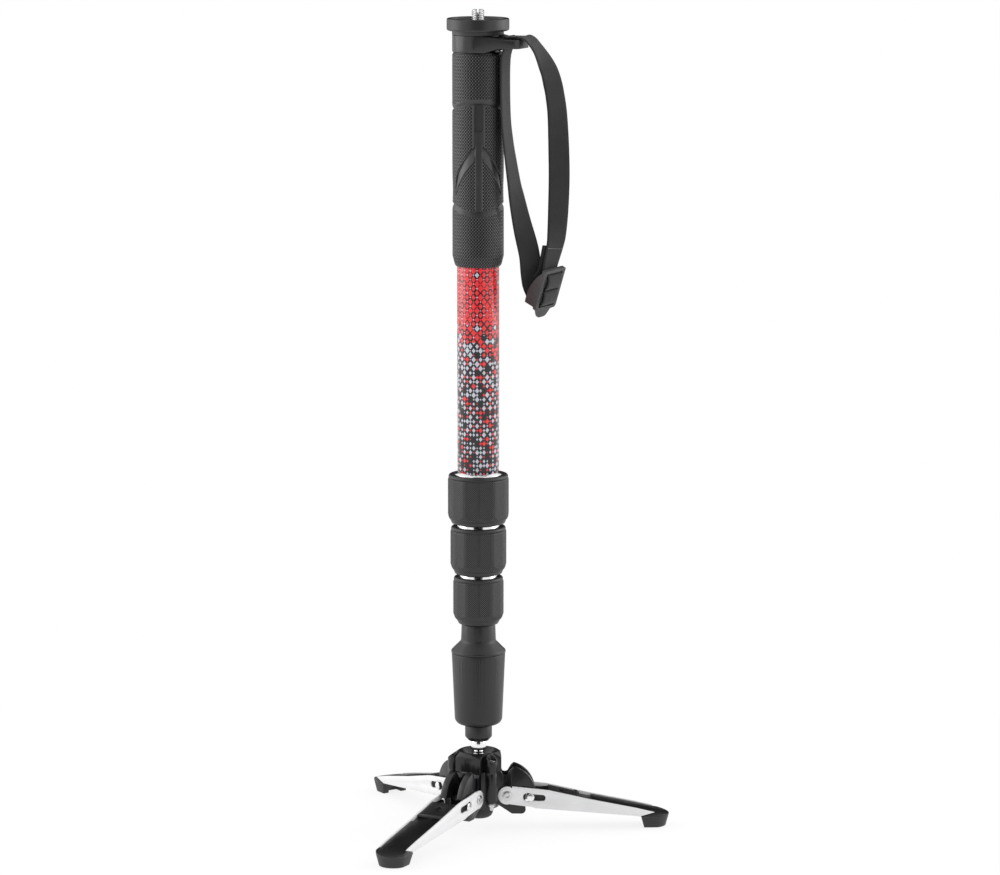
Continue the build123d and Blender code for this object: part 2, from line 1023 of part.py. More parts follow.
def lock_collet(index):
    inner = tube_radii[index + 1]
    low = lock_lows[index] + flange_height + moving_gap
    cone = turned(
        [
            (inner + shaft_gap, low),
            (inner + collet_thick, low),
            (inner + collet_thin, low + collet_height),
            (inner + shaft_gap, low + collet_height),
        ]
    )
    slit = block(
        (0, -collet_slit / 2, low - overrun),
        (inner + collet_thick + overrun, collet_slit / 2, low + collet_height + overrun),
    )
    return cone - slit


def nut_bore(index):
    return tube_radii[index] + sleeve_wall + moving_gap


def lock_nut(index):
    low = lock_lows[index]
    top = low + lock_heights[index]
    body = nut_bore(index) + nut_wall
    skirt = lock_radii[index] - grip_lap / 3
    opening = tube_radii[index + 1] + nut_bore_gap
    lip = nut_bore(index) + nut_wall / 2
    return turned(
        [
            (opening, low),
            (lock_foot_radii[index], low),
            (skirt - lock_draws[index], low + nut_foot),
            (body, low + nut_foot),
            (body, top - nut_lip),
            (skirt, top - nut_lip),
            (skirt, top),
            (lip, top),
            (nut_bore(index), top - cone_sink),
            (nut_bore(index), low + flange_height),
            (opening, low + flange_height),
        ],
        {6: lip_round},
    )


def lock_grip(index):
    low = lock_lows[index] + nut_foot
    high = lock_lows[index] + lock_heights[index] - nut_lip
    full = lock_radii[index]
    inner = nut_bore(index) + nut_wall
    prism = Pos(0, 0, low) * extrude(RegularPolygon(full, facet_count), high - low)
    chamfer = grip_lap / 2
    barrel = turned(
        [
            (0, low),
            (full - lock_draws[index], low),
            (full, lock_lows[index] + lock_taper_height),
            (full, high - chamfer),
            (full - chamfer, high),
            (0, high),
        ]
    )
    return (prism & barrel) - rod(inner, low - overrun, high + overrun)


def grip():
    inner = tube_radii[0]
    waist_middle = grip_low + grip_length * waist_share
    bands = [grip_low + grip_length * share for share in (foot_band_share, band_share)]
    points = [(inner, grip_low), (grip_foot_radius, grip_low), (grip_radius, grip_low + grip_taper_height)]
    for middle, half, depth in (
        (bands[0], band_half, band_depth),
        (waist_middle, waist_half, waist_depth),
        (bands[1], band_half, band_depth),
    ):
        points += [
            (grip_radius, middle - half),
            (grip_radius - depth, middle - half / 2),
            (grip_radius - depth, middle + half / 2),
            (grip_radius, middle + half),
        ]
    points += [(grip_radius, grip_high), (inner, grip_high)]
    return turned(points)


def head_core():
    bore = tube_radii[0] - tube_wall
    body = turned(
        [
            (0, plug_bottom),
            (bore, plug_bottom),
            (bore, grip_high),
            (ledge_radius, grip_high),
            (ledge_radius, grip_high + ledge_height),
            (head_radius, grip_high + ledge_height),
            (head_radius, head_high),
            (0, head_high),
        ]
    )
    hole_low = screw_top - screw_length
    return body - rod(screw_shank_radius, hole_low, head_high + overrun)


def top_plate():
    body = turned(
        [
            (screw_shank_radius, head_high),
            (neck_radius, head_high),
            (neck_radius, disc_low),
            (disc_radius, disc_low),
            (disc_radius, disc_top),
            (disc_radius - rim_width, disc_top),
            (disc_radius - rim_width - disc_dish, dish_floor),
            (screw_shank_radius, dish_floor),
        ],
        {3: disc_round, 4: disc_round / 2},
    )
    return body


def top_pad():
    return ring(
        disc_radius - rim_width - disc_dish - moving_gap,
        screw_thread_radius + pad_bore_gap,
        dish_floor,
        dish_floor + pad_height,
    )


def camera_screw():
    thread_low = dish_floor + pad_height
    body = rod(screw_thread_radius, thread_low, screw_top)
    body = chamfer(body.edges().sort_by(Axis.Z)[-1], screw_slot_width / 2)
    body = body + rod(screw_shank_radius, screw_top - screw_length, thread_low)
    slot = block(
        (-screw_slot_width / 2, -screw_thread_radius, screw_top - screw_slot_depth),
        (screw_slot_width / 2, screw_thread_radius, screw_top + overrun),
    )
    return body - slot


# Strap collar, drawn out to a lug that the webbing goes over
lug_turn = -28.0
slot_start = 22.2
slot_width = 3.0
webbing_width = 15.0
webbing_thickness = 1.5
slot_slack = 1.2
lug_side = 1.8
lug_reach = 36.0
lug_low_rise = 3.2
lug_high_drop = 2.0
lug_corner = 2.2
lug_slope_start = 12.0
upper_facet_height = 3.6
lower_facet_height = 5.2
facet_depth = 2.4
facet_seed_share = 0.05


def tangent_place(radius, corner):
    """Where a straight wall through the corner touches the circle, on the corner's side."""
    x, y = corner
    turn = atan2(y, x) + acos(radius / hypot(x, y))
    return radius * cos(turn), radius * sin(turn)


def facet_cut(touch, corner, edge, inward, height):
    """A sloping cut along a wall of the lug, small at the circle and full height at the corner.

    The edge is the end face that it starts from, and inward is 1 or -1, up or down from there.
    """
    run = Vector(corner[0] - touch[0], corner[1] - touch[1], 0)
    along = run.normalized()
    out = Vector(along.Y, -along.X, 0) * (1 if corner[1] < 0 else -1)
    up = Vector(0, 0, inward)
    steepness = height / facet_depth
    sections = []
    for share in (facet_seed_share, 1 + facet_seed_share):
        depth = facet_depth * share
        base = Vector(touch[0], touch[1], edge) + run * share
        points = [
            base - out * (depth + overrun / steepness) - up * overrun,
            base + out * overrun - up * overrun,
            base + out * overrun + up * (steepness * (depth + overrun)),
        ]
        sections.append(make_face(Polyline(*points, close=True)).face())
    return loft(sections, ruled=True)


def strap_collar():
    inner = head_radius + moving_gap
    outer = inner + strap_collar_wall
    lug_wide = webbing_width / 2 + slot_slack / 2 + lug_side
    lug_low = strap_collar_low + lug_low_rise
    lug_high = strap_collar_high - lug_high_drop
    touch = tangent_place(outer, (lug_reach, lug_wide))
    plan = outline(
        [
            (touch[0], -touch[1]),
            (lug_reach, -lug_wide),
            (lug_reach, lug_wide),
            touch,
        ]
    )
    corners = [v for v in plan.vertices() if v.X > slot_start]
    plan = Circle(outer) + chamfer(corners, lug_corner)
    body = Pos(0, 0, strap_collar_low) * extrude(plan, strap_collar_height)
    side = outline(
        [
            (-outer - overrun, strap_collar_low),
            (lug_slope_start, strap_collar_low),
            (slot_start, lug_low),
            (lug_reach + overrun, lug_low),
            (lug_reach + overrun, lug_high),
            (slot_start, lug_high),
            (lug_slope_start, strap_collar_high),
            (-outer - overrun, strap_collar_high),
        ]
    )
    body = body & plate(side, -lug_reach, lug_reach)
    for wall in (-1, 1):
        ends = (touch[0], wall * touch[1]), (lug_reach, wall * lug_wide)
        body = body - facet_cut(*ends, strap_collar_low, 1, lower_facet_height)
        body = body - facet_cut(*ends, strap_collar_high, -1, upper_facet_height)
    slot = block(
        (slot_start, -(webbing_width + slot_slack) / 2, strap_collar_low - overrun),
        (slot_start + slot_width, (webbing_width + slot_slack) / 2, strap_collar_high + overrun),
    )
    body = body - slot - rod(inner, strap_collar_low - overrun, strap_collar_high + overrun)
    return Rot(0, 0, lug_turn) * body


# Webbing loop: places as shares of the loop's reach and drop, and the direction across the tape.
# Reach is measured from the column's axis, drop from the top of the collar.
loop_reach = 57.4
loop_drop = 186.0
webbing_shares = [
    ((0.672, 0.082, 0.971), (0.82, 0.56, 0.09)),
    ((0.641, 0.035, 0.923), (0.92, 0.38, 0.04)),
    ((0.616, -0.052, 0.842), (0.99, 0.13, 0.00)),
    ((0.540, -0.122, 0.722), (0.88, 0.47, 0.00)),
    ((0.474, -0.155, 0.624), (0.74, 0.67, 0.00)),
    ((0.444, -0.170, 0.573), (0.64, 0.77, 0.00)),
    ((0.397, -0.183, 0.477), (0.55, 0.84, 0.00)),
    ((0.366, -0.186, 0.406), (0.50, 0.87, 0.00)),
    ((0.338, -0.180, 0.315), (0.47, 0.88, 0.00)),
    ((0.329, -0.176, 0.180), (0.47, 0.88, 0.00)),
    ((0.350, -0.187, 0.085), (0.49, 0.87, 0.00)),
    ((0.363, -0.193, 0.050), (0.47, 0.88, 0.00)),
    ((0.365, -0.194, 0.026), (0.47, 0.88, 0.00)),
    ((0.369, -0.196, 0.0155), (0.47, 0.88, 0.00)),
    ((0.372, -0.1975, 0.0090), (0.47, 0.88, 0.00)),
    ((0.384, -0.204, 0.0044), (0.47, 0.88, 0.00)),
    ((0.406, -0.216, 0.0058), (0.47, 0.88, 0.00)),
    ((0.560, -0.275, 0.0066), (0.42, 0.90, 0.00)),
    ((0.655, -0.272, 0.022), (0.30, 0.88, 0.33)),
    ((0.722, -0.260, 0.048), (0.33, 0.84, 0.40)),
    ((0.775, -0.247, 0.076), (0.45, 0.76, 0.46)),
    ((0.825, -0.230, 0.106), (0.62, 0.65, 0.43)),
    ((0.872, -0.215, 0.138), (0.74, 0.55, 0.38)),
    ((0.910, -0.195, 0.178), (0.84, 0.45, 0.28)),
    ((0.945, -0.175, 0.230), (0.89, 0.43, 0.14)),
    ((0.979, -0.155, 0.320), (0.94, 0.34, 0.03)),
    ((1.000, -0.138, 0.510), (1.00, 0.05, 0.00)),
    ((0.993, -0.118, 0.650), (0.97, 0.20, 0.00)),
    ((0.974, -0.100, 0.760), (0.90, 0.42, 0.02)),
    ((0.951, -0.095, 0.810), (0.82, 0.55, 0.08)),
]
loop_top = strap_collar_high + webbing_thickness / 4


# Four-bar buckle at the foot of the loop
buckle_width = 22.0
buckle_length = 32.5
buckle_thickness = 3.0
cheek_width = 2.6
cheek_depth = 8.2
cheek_middle_share = 0.86
bar_width = 2.4
middle_bar_width = 7.0
middle_bar_place = 6.4
tongue_length = 7.0
tongue_half = 8.4
buckle_x_share = 0.863
buckle_y_share = -0.050
buckle_drop_share = 0.9725
buckle_across = (0.69, 0.72, 0.08)
buckle_down = (-0.23, 0.32, -0.92)

# The tape's way over a middle bar, from its free end: shares of its least distances from the
# bar's middle, along the buckle and out of its back
tape_gap = 0.4
bar_wrap_shares = [
    (-1.08, -0.38),
    (-1.10, 0.24),
    (-1.00, 0.89),
    (0.00, 1.14),
    (1.00, 0.89),
    (1.25, 0.24),
    (1.32, -0.48),
]
lead_out = 7.0
lead_in = 13.6
lead_in_depth = 2.6


def buckle_plane():
    """Place of the buckle: x across it, y towards the loop, z out of its face."""
    across = Vector(*buckle_across).normalized()
    down = Vector(*buckle_down)
    down = (down - across * down.dot(across)).normalized()
    centre = Vector(
        loop_reach * buckle_x_share,
        loop_reach * buckle_y_share,
        loop_top - loop_drop * buckle_drop_share,
    )
    return Plane(origin=centre, x_dir=across, z_dir=across.cross(down * -1))


def webbing_places():
    """Centre of each cross section of the tape, and the direction across it."""
    plane = buckle_plane()
    beside = middle_bar_width / 2 + tape_gap + webbing_thickness / 2
    above = buckle_thickness + tape_gap + webbing_thickness / 2

    def at_buckle(up, out):
        return plane.from_local_coords(Vector(0, up, out)), plane.x_dir

    def over_bar(side):
        """Places over the bar on one side of the middle, from the tape's free end outwards."""
        return [
            at_buckle(side * (middle_bar_place + beside * along), above * out)
            for along, out in bar_wrap_shares
        ]

    places = over_bar(-1) + [at_buckle(-beside * 2 - middle_bar_place / 2, -lead_out)]
    for (x, y, drop), across in webbing_shares:
        place = Vector(loop_reach * x, loop_reach * y, loop_top - loop_drop * drop)
        places.append((place, Vector(*across)))
    return places + [at_buckle(lead_in, -lead_in_depth)] + over_bar(1)[-2::-1]


def strap_webbing():
    places = webbing_places()
    sections = []
    last = len(places) - 1
    for i, (point, across) in enumerate(places):
        along = (places[min(i + 1, last)][0] - places[max(i - 1, 0)][0]).normalized()
        across = (across - along * across.dot(along)).normalized()
        place = Plane(origin=point, x_dir=across, z_dir=along)
        sections.append(place * Rectangle(webbing_width, webbing_thickness))
    return loft(sections, ruled=True)


def strap_buckle():
    half, length = buckle_width / 2, buckle_length
    frame = outline(
        [(-half, -length / 2), (half, -length / 2), (half, length / 2), (-half, length / 2)],
        {0: cheek_width, 1: cheek_width, 2: cheek_width / 2, 3: cheek_width / 2},
    )
    window_half = half - cheek_width
    window_end = length / 2 - bar_width
    bars = [
        Pos(0, side * middle_bar_place) * Rectangle(2 * window_half, middle_bar_width)
        for side in (1, -1)
    ]
    frame = frame - Rectangle(2 * window_half, 2 * window_end) + bars[0] + bars[1]
    body = extrude(frame, buckle_thickness)
    chord = length / 2 - cheek_width
    cheek_face = make_face(
        Curve(
            children=[
                *Polyline((-chord, -cheek_depth), (-chord, 0), (chord, 0)).edges(),
                *ThreePointArc(
                    (chord, 0), (0, -cheek_depth * cheek_middle_share), (-chord, -cheek_depth)
                ).edges(),
            ]
        )
    )
    for side in (1, -1):
        near, far = sorted((side * half, side * (half - cheek_width)))
        cheek = extrude(Plane.YZ * cheek_face, cheek_width)
        body = body + Pos(near, 0, 0) * cheek
    tongue_face = outline(
        [
            (-tongue_half, 0),
            (-tongue_half / 2, -tongue_length),
            (tongue_half / 2, -tongue_length),
            (tongue_half, 0),
        ],
        {1: tongue_half / 2, 2: tongue_half / 2},
    )
    tongue = extrude(tongue_face, buckle_thickness / 2)
    body = body + Pos(0, -length / 2, 0) * tongue
    return buckle_plane() * body


def build():
    """Every piece by its node name."""
    pieces = {
        "hub_body": hub_body(),
        "hub_cap": hub_cap(),
        "hub_screws": hub_screws(),
        "hub_nuts": hub_nuts(),
        "base_foot": base_foot(),
        "leg_pivot_pins": group([pivot_pin(i) for i in range(leg_count)]),
        "ball_race": ball_race(),
        "ball_stem": ball_stem(),
        "damper_drum": damper_drum(),
        "stem_nut": stem_nut(),
        "nose_bush": nose_bush(),
        "pan_housing": pan_housing(),
        "shaft_bearings": shaft_bearings(),
        "pan_cap": pan_cap(),
        "grip": grip(),
        "head_core": head_core(),
        "top_plate": top_plate(),
        "top_pad": top_pad(),
        "camera_screw": camera_screw(),
        "strap_collar": strap_collar(),
        "strap_webbing": strap_webbing(),
        "strap_buckle": strap_buckle(),
    }
    for i in range(len(tube_radii)):
        pieces[f"tube_{i + 1}"] = tube(i)
        if i:
            pieces[f"tube_{i + 1}_guide"] = tube_guide(i)
    for i in range(len(lock_radii)):
        pieces[f"lock_{i + 1}_sleeve"] = lock_sleeve(i)
        pieces[f"lock_{i + 1}_collet"] = lock_collet(i)
        pieces[f"lock_{i + 1}_nut"] = lock_nut(i)
        pieces[f"lock_{i + 1}_grip"] = lock_grip(i)
    plates, cover, foot = side_plates(), leg_cover(), leg_foot()
    slider, studs, spring = lock_slider(), lock_studs(), lock_spring()
    for i in range(leg_count):
        name = f"leg_{i + 1}"
        pieces[f"{name}_side_plates"] = group([for_leg(p, i) for p in plates])
        pieces[f"{name}_cover"] = for_leg(cover, i)
        pieces[f"{name}_foot"] = for_leg(foot, i)
        pieces[f"{name}_slider"] = for_leg(slider, i)
        pieces[f"{name}_studs"] = group([for_leg(s, i) for s in studs.solids()])
        pieces[f"{name}_spring"] = for_leg(spring, i)
    return pieces


os.makedirs("parts", exist_ok=True)
pieces = build()
for name, shape in pieces.items():
    export_step(shape, f"parts/{name}.step")
print("slide travels", [round(slide_travel(i), 2) for i in range(len(lock_radii))])
print("pieces", len(pieces))
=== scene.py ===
"""Camera monopod: finishes, knurled rubber, webbing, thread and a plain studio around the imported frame."""
import json
import math
from functools import partialmethod

import bmesh
import bpy
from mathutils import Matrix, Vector


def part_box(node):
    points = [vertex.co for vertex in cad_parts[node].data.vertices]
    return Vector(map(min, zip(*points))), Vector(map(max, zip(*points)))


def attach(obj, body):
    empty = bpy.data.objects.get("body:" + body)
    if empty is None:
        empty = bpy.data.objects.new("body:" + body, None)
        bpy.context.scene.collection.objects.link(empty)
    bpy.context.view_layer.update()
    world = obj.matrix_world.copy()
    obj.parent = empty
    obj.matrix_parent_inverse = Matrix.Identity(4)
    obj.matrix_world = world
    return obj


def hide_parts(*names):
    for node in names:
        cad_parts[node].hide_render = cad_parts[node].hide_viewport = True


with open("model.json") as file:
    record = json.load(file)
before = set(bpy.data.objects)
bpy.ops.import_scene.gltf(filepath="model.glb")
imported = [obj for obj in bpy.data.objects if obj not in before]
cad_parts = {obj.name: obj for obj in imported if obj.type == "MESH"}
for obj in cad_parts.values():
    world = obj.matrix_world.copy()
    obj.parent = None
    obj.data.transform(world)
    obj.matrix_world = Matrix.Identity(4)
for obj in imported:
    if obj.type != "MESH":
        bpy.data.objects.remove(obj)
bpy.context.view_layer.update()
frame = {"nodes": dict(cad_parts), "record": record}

MM = 0.001
FULL_TURN = 2 * math.pi
BODY_OF = {
    node: body
    for body, nodes in frame["record"]["behaviour"]["bodies"].items()
    for node in nodes
}
SLOT_OF = {entry["node"]: entry["material_slot"] for entry in frame["record"]["subparts"]}


def box_mm(node):
    """Lowest and highest corners of a CAD node in millimetres."""
    low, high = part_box(node)
    return low / MM, high / MM


# Node trees

class Field:
    """A value in a node tree. Arithmetic on it adds the Math nodes that work the result out."""

    def __init__(self, tree, socket):
        self.tree = tree
        self.socket = socket

    def math(self, operation, *others):
        node = self.tree.nodes.new("ShaderNodeMath")
        node.operation = operation
        for place, value in enumerate((self, *others)):
            feed(self.tree, value, node.inputs[place])
        return Field(self.tree, node.outputs[0])

    __add__ = __radd__ = partialmethod(math, "ADD")
    __sub__ = partialmethod(math, "SUBTRACT")
    __mul__ = __rmul__ = partialmethod(math, "MULTIPLY")
    __truediv__ = partialmethod(math, "DIVIDE")
    fract = partialmethod(math, "FRACT")
    floor = partialmethod(math, "FLOOR")
    size = partialmethod(math, "ABSOLUTE")
    sine = partialmethod(math, "SINE")
    cosine = partialmethod(math, "COSINE")
    least = partialmethod(math, "MINIMUM")
    most = partialmethod(math, "MAXIMUM")
    above = partialmethod(math, "GREATER_THAN")

    def __rsub__(self, other):
        return self * -1.0 + other

    def ramp(self, low, high):
        """0 at low, 1 at high, held level outside them."""
        node = self.tree.nodes.new("ShaderNodeMapRange")
        feed(self.tree, self, node.inputs["Value"])
        feed(self.tree, low, node.inputs["From Min"])
        feed(self.tree, high, node.inputs["From Max"])
        return Field(self.tree, node.outputs["Result"])

    def from_to(self, start, finish):
        """A value that goes from start to finish as this one goes from 0 to 1."""
        return self * (finish - start) + start

    def zigzag(self):
        """A wave of straight runs: 0 at whole numbers, 1 halfway between them."""
        return 1.0 - ((self.fract() - 0.5).size() * 2.0)


def feed(tree, value, socket):
    """Links a field or socket, or sets a plain value."""
    if isinstance(value, Field):
        tree.links.new(value.socket, socket)
    elif isinstance(value, bpy.types.NodeSocket):
        tree.links.new(value, socket)
    else:
        socket.default_value = value


def add_node(tree, kind, feeds=None, **settings):
    node = tree.nodes.new(kind)
    for key, value in settings.items():
        setattr(node, key, value)
    for key, value in (feeds or {}).items():
        feed(tree, value, node.inputs[key])
    return node


def start_group(name, kind, inputs, outputs):
    """A node group with named sockets. Returns its tree, a field for each input, and its output node."""
    tree = bpy.data.node_groups.new(name, kind)
    for label, socket_type, value in inputs:
        socket = tree.interface.new_socket(label, in_out="INPUT", socket_type=socket_type)
        if value is not None:
            socket.default_value = value
    for label, socket_type in outputs:
        tree.interface.new_socket(label, in_out="OUTPUT", socket_type=socket_type)
    source = tree.nodes.new("NodeGroupInput")
    sink = tree.nodes.new("NodeGroupOutput")
    fields = {label: Field(tree, source.outputs[label]) for label, _, _ in inputs}
    return tree, fields, sink


def use_group(tree, group, feeds):
    """Places a group in a tree and returns a field for each of its outputs."""
    node = add_node(tree, "ShaderNodeGroup", node_tree=group)
    for key, value in feeds.items():
        feed(tree, value, node.inputs[key])
    return {socket.name: Field(tree, socket) for socket in node.outputs}


def parts_of(tree, vector):
    """Fields for the three numbers of a vector."""
    split = add_node(tree, "ShaderNodeSeparateXYZ", {0: vector})
    return [Field(tree, socket) for socket in split.outputs]


def vector_of(tree, x, y, z):
    joined = add_node(tree, "ShaderNodeCombineXYZ", {0: x, 1: y, 2: z})
    return Field(tree, joined.outputs[0])


FLOAT, INTEGER, VECTOR = "NodeSocketFloat", "NodeSocketInt", "NodeSocketVector"
FINISH, GEOMETRY = "NodeSocketMaterial", "NodeSocketGeometry"

# Noise keeps to the middle of its range; between these two it is stretched to fill 0 to 1
NOISE_LOW, NOISE_HIGH = 0.3, 0.7


def noise(tree, place, size, detail):
    """Soft noise with features about size millimetres wide."""
    node = add_node(tree, "ShaderNodeTexNoise", {
        "Vector": place, "Scale": (size * MM).math("POWER", -1.0), "Detail": detail})
    return Field(tree, node.outputs[0])


def filled(tone):
    return tone.ramp(NOISE_LOW, NOISE_HIGH)


def grain_group():
    """Fine moulded texture: a height and a slow tone that drifts over the surface."""
    tree, given, sink = start_group(
        "Grain", "ShaderNodeTree",
        [("Place", VECTOR, None), ("Grain Size", FLOAT, 0.5), ("Drift Size", FLOAT, 30.0)],
        [("Height", FLOAT), ("Tone", FLOAT)],
    )
    feed(tree, noise(tree, given["Place"], given["Grain Size"], 2.0), sink.inputs["Height"])
    feed(tree, noise(tree, given["Place"], given["Drift Size"], 3.0), sink.inputs["Tone"])
    return tree


# Bend between true and rounded normals where the pale edge starts and is full, and the noise that breaks it
# up; the pale edge is partly worn and partly a painted highlight
WEAR_AND_HIGHLIGHT_FROM, WEAR_AND_HIGHLIGHT_FULL = 0.02, 0.16
PATCH_FROM, PATCH_FULL = 0.35, 0.65


def wear_and_highlight_group():
    """Mask that is 1 on sharp edges, broken up by noise: worn edges and a painted highlight along them."""
    tree, given, sink = start_group(
        "Edge Wear And Highlight", "ShaderNodeTree",
        [("Place", VECTOR, None), ("Radius", FLOAT, 0.3), ("Patchiness", FLOAT, 4.0)],
        [("Mask", FLOAT)],
    )
    smooth = add_node(tree, "ShaderNodeBevel", {"Radius": given["Radius"] * MM}, samples=4)
    normal = add_node(tree, "ShaderNodeNewGeometry")
    dot = add_node(tree, "ShaderNodeVectorMath",
                   {0: smooth.outputs[0], 1: normal.outputs["Normal"]}, operation="DOT_PRODUCT")
    bend = (1.0 - Field(tree, dot.outputs["Value"])).ramp(WEAR_AND_HIGHLIGHT_FROM, WEAR_AND_HIGHLIGHT_FULL)
    patches = noise(tree, given["Place"], given["Patchiness"], 4.0)
    feed(tree, bend * patches.ramp(PATCH_FROM, PATCH_FULL), sink.inputs["Mask"])
    return tree


# Width of a metal's slow drift of tone, in brushed lines
LINES_PER_DRIFT = 60.0


def brushing_group():
    """Long fine scratches along one axis."""
    tree, given, sink = start_group(
        "Brushing", "ShaderNodeTree",
        [("Place", VECTOR, None), ("Along", VECTOR, (0.02, 1.0, 1.0)), ("Line Size", FLOAT, 0.25)],
        [("Height", FLOAT), ("Tone", FLOAT)],
    )
    stretched = add_node(tree, "ShaderNodeVectorMath", {0: given["Place"], 1: given["Along"]},
                         operation="MULTIPLY")
    feed(tree, noise(tree, stretched.outputs[0], given["Line Size"], 3.0), sink.inputs["Height"])
    drift = noise(tree, given["Place"], given["Line Size"] * LINES_PER_DRIFT, 2.0)
    feed(tree, drift, sink.inputs["Tone"])
    return tree


def weave_group():
    """Twill of crossing threads from a tape's own map, in millimetres across and along."""
    tree, given, sink = start_group(
        "Twill", "ShaderNodeTree",
        [("Across", FLOAT, 0.0), ("Along", FLOAT, 0.0), ("Thread", FLOAT, 0.6)],
        [("Height", FLOAT), ("Tone", FLOAT)],
    )
    across, along = given["Across"] / given["Thread"], given["Along"] / given["Thread"]
    rib = ((along * 0.5 + across * 0.9).fract() - 0.5).size() * 2.0
    threads = across.zigzag() * 0.5 + (along * 1.6).zigzag() * 0.3
    feed(tree, (1.0 - rib) * 0.7 + threads, sink.inputs["Height"])
    feed(tree, rib, sink.inputs["Tone"])
    return tree


# Softness of a lozenge's edge, as a share of the lattice
LOZENGE_EDGE = 0.02


def lozenge_group():
    """Mask of a lattice of lozenges on a tube, and a random number for each of them."""
    tree, given, sink = start_group(
        "Lozenges", "ShaderNodeTree",
        [("Around", FLOAT, 0.0), ("Height", FLOAT, 0.0), ("Columns", FLOAT, 20.0), ("Pitch", FLOAT, 6.0),
         ("Size", FLOAT, 0.8), ("Change", FLOAT, 0.1), ("Seed", FLOAT, 0.0)],
        [("Mask", FLOAT), ("Lot", FLOAT)],
    )
    across = given["Around"] * given["Columns"]
    up = given["Height"] / given["Pitch"]
    rising, falling = across + up, across - up
    place_across = (rising.floor() + falling.floor()).math("WRAP", given["Columns"] * 2.0, 0.0)
    place_up = rising.floor() - falling.floor()
    lot = add_node(tree, "ShaderNodeTexWhiteNoise",
                   {"Vector": vector_of(tree, place_across, place_up, given["Seed"])}, noise_dimensions="3D")
    half = given["Size"] * (1.0 + (Field(tree, lot.outputs["Value"]) - 0.5) * given["Change"]) * 0.5
    reach = (rising.fract() - 0.5).size().most((falling.fract() - 0.5).size())
    feed(tree, (half - reach).ramp(-LOZENGE_EDGE, LOZENGE_EDGE), sink.inputs["Mask"])
    feed(tree, Field(tree, lot.outputs["Color"]), sink.inputs["Lot"])
    return tree


GRAIN = grain_group()
WEAR_AND_HIGHLIGHT = wear_and_highlight_group()
BRUSHING = brushing_group()
TWILL = weave_group()
LOZENGES = lozenge_group()


# Materials

def start_material(name, colour, roughness, metallic=0.0, specular=0.5):
    material = bpy.data.materials.new(name)
    material.use_nodes = True
    tree = material.node_tree
    shader = tree.nodes["Principled BSDF"]
    shader.inputs["Base Color"].default_value = (*colour, 1.0)
    shader.inputs["Roughness"].default_value = roughness
    shader.inputs["Metallic"].default_value = metallic
    shader.inputs["Specular IOR Level"].default_value = specular
    return material, tree, shader


def object_place(tree):
    coordinates = add_node(tree, "ShaderNodeTexCoord")
    return Field(tree, coordinates.outputs["Object"])


def blend_colours(tree, share, first, second):
    """A colour between two, by a field from 0 to 1."""
    mix = add_node(tree, "ShaderNodeMix", data_type="RGBA")
    feed(tree, share, mix.inputs[0])
    colour_sockets = [s for s in mix.inputs if s.type == "RGBA"]
    for socket, colour in zip(colour_sockets, (first, second)):
        feed(tree, colour if isinstance(colour, Field) else (*colour, 1.0), socket)
    return Field(tree, next(s for s in mix.outputs if s.type == "RGBA"))


def add_bump(tree, shader, height, depth):
    bump = add_node(tree, "ShaderNodeBump", {"Height": height, "Distance": depth * MM})
    feed(tree, bump.outputs[0], shader.inputs["Normal"])


def tint(colour, share):
    """A colour made darker by a share under 1, or lighter by one over 1."""
    return tuple(share * c for c in colour)


# Moulded surfaces: slow drift of tone and gloss, and patches of pale edge, partly worn and partly a painted
# highlight
DRIFT_SIZE, PATCH_SIZE = 22.0, 5.0
TONE_SPREAD, GLOSS_SPREAD = 0.14, 0.10
WORN_HIGHLIGHT_LIFT, WORN_POLISH = 0.01, 0.12

# A knurl's relief, from 0 in its grooves to 1 on its tips: what each span of it does. The grooves get
# painted shade and the tips a painted highlight in the colour, and the tips a glossier coat
GROOVE_SPAN, GROOVE_PAINTED_SHADE = (0.1, 0.5), 0.3
TIP_SPAN, TIP_PAINTED_HIGHLIGHT = (0.6, 1.0), 3.2
GLOSS_SPAN, GROOVE_GLOSS, TIP_REFLECTANCE = (0.1, 0.9), 0.15, 0.144


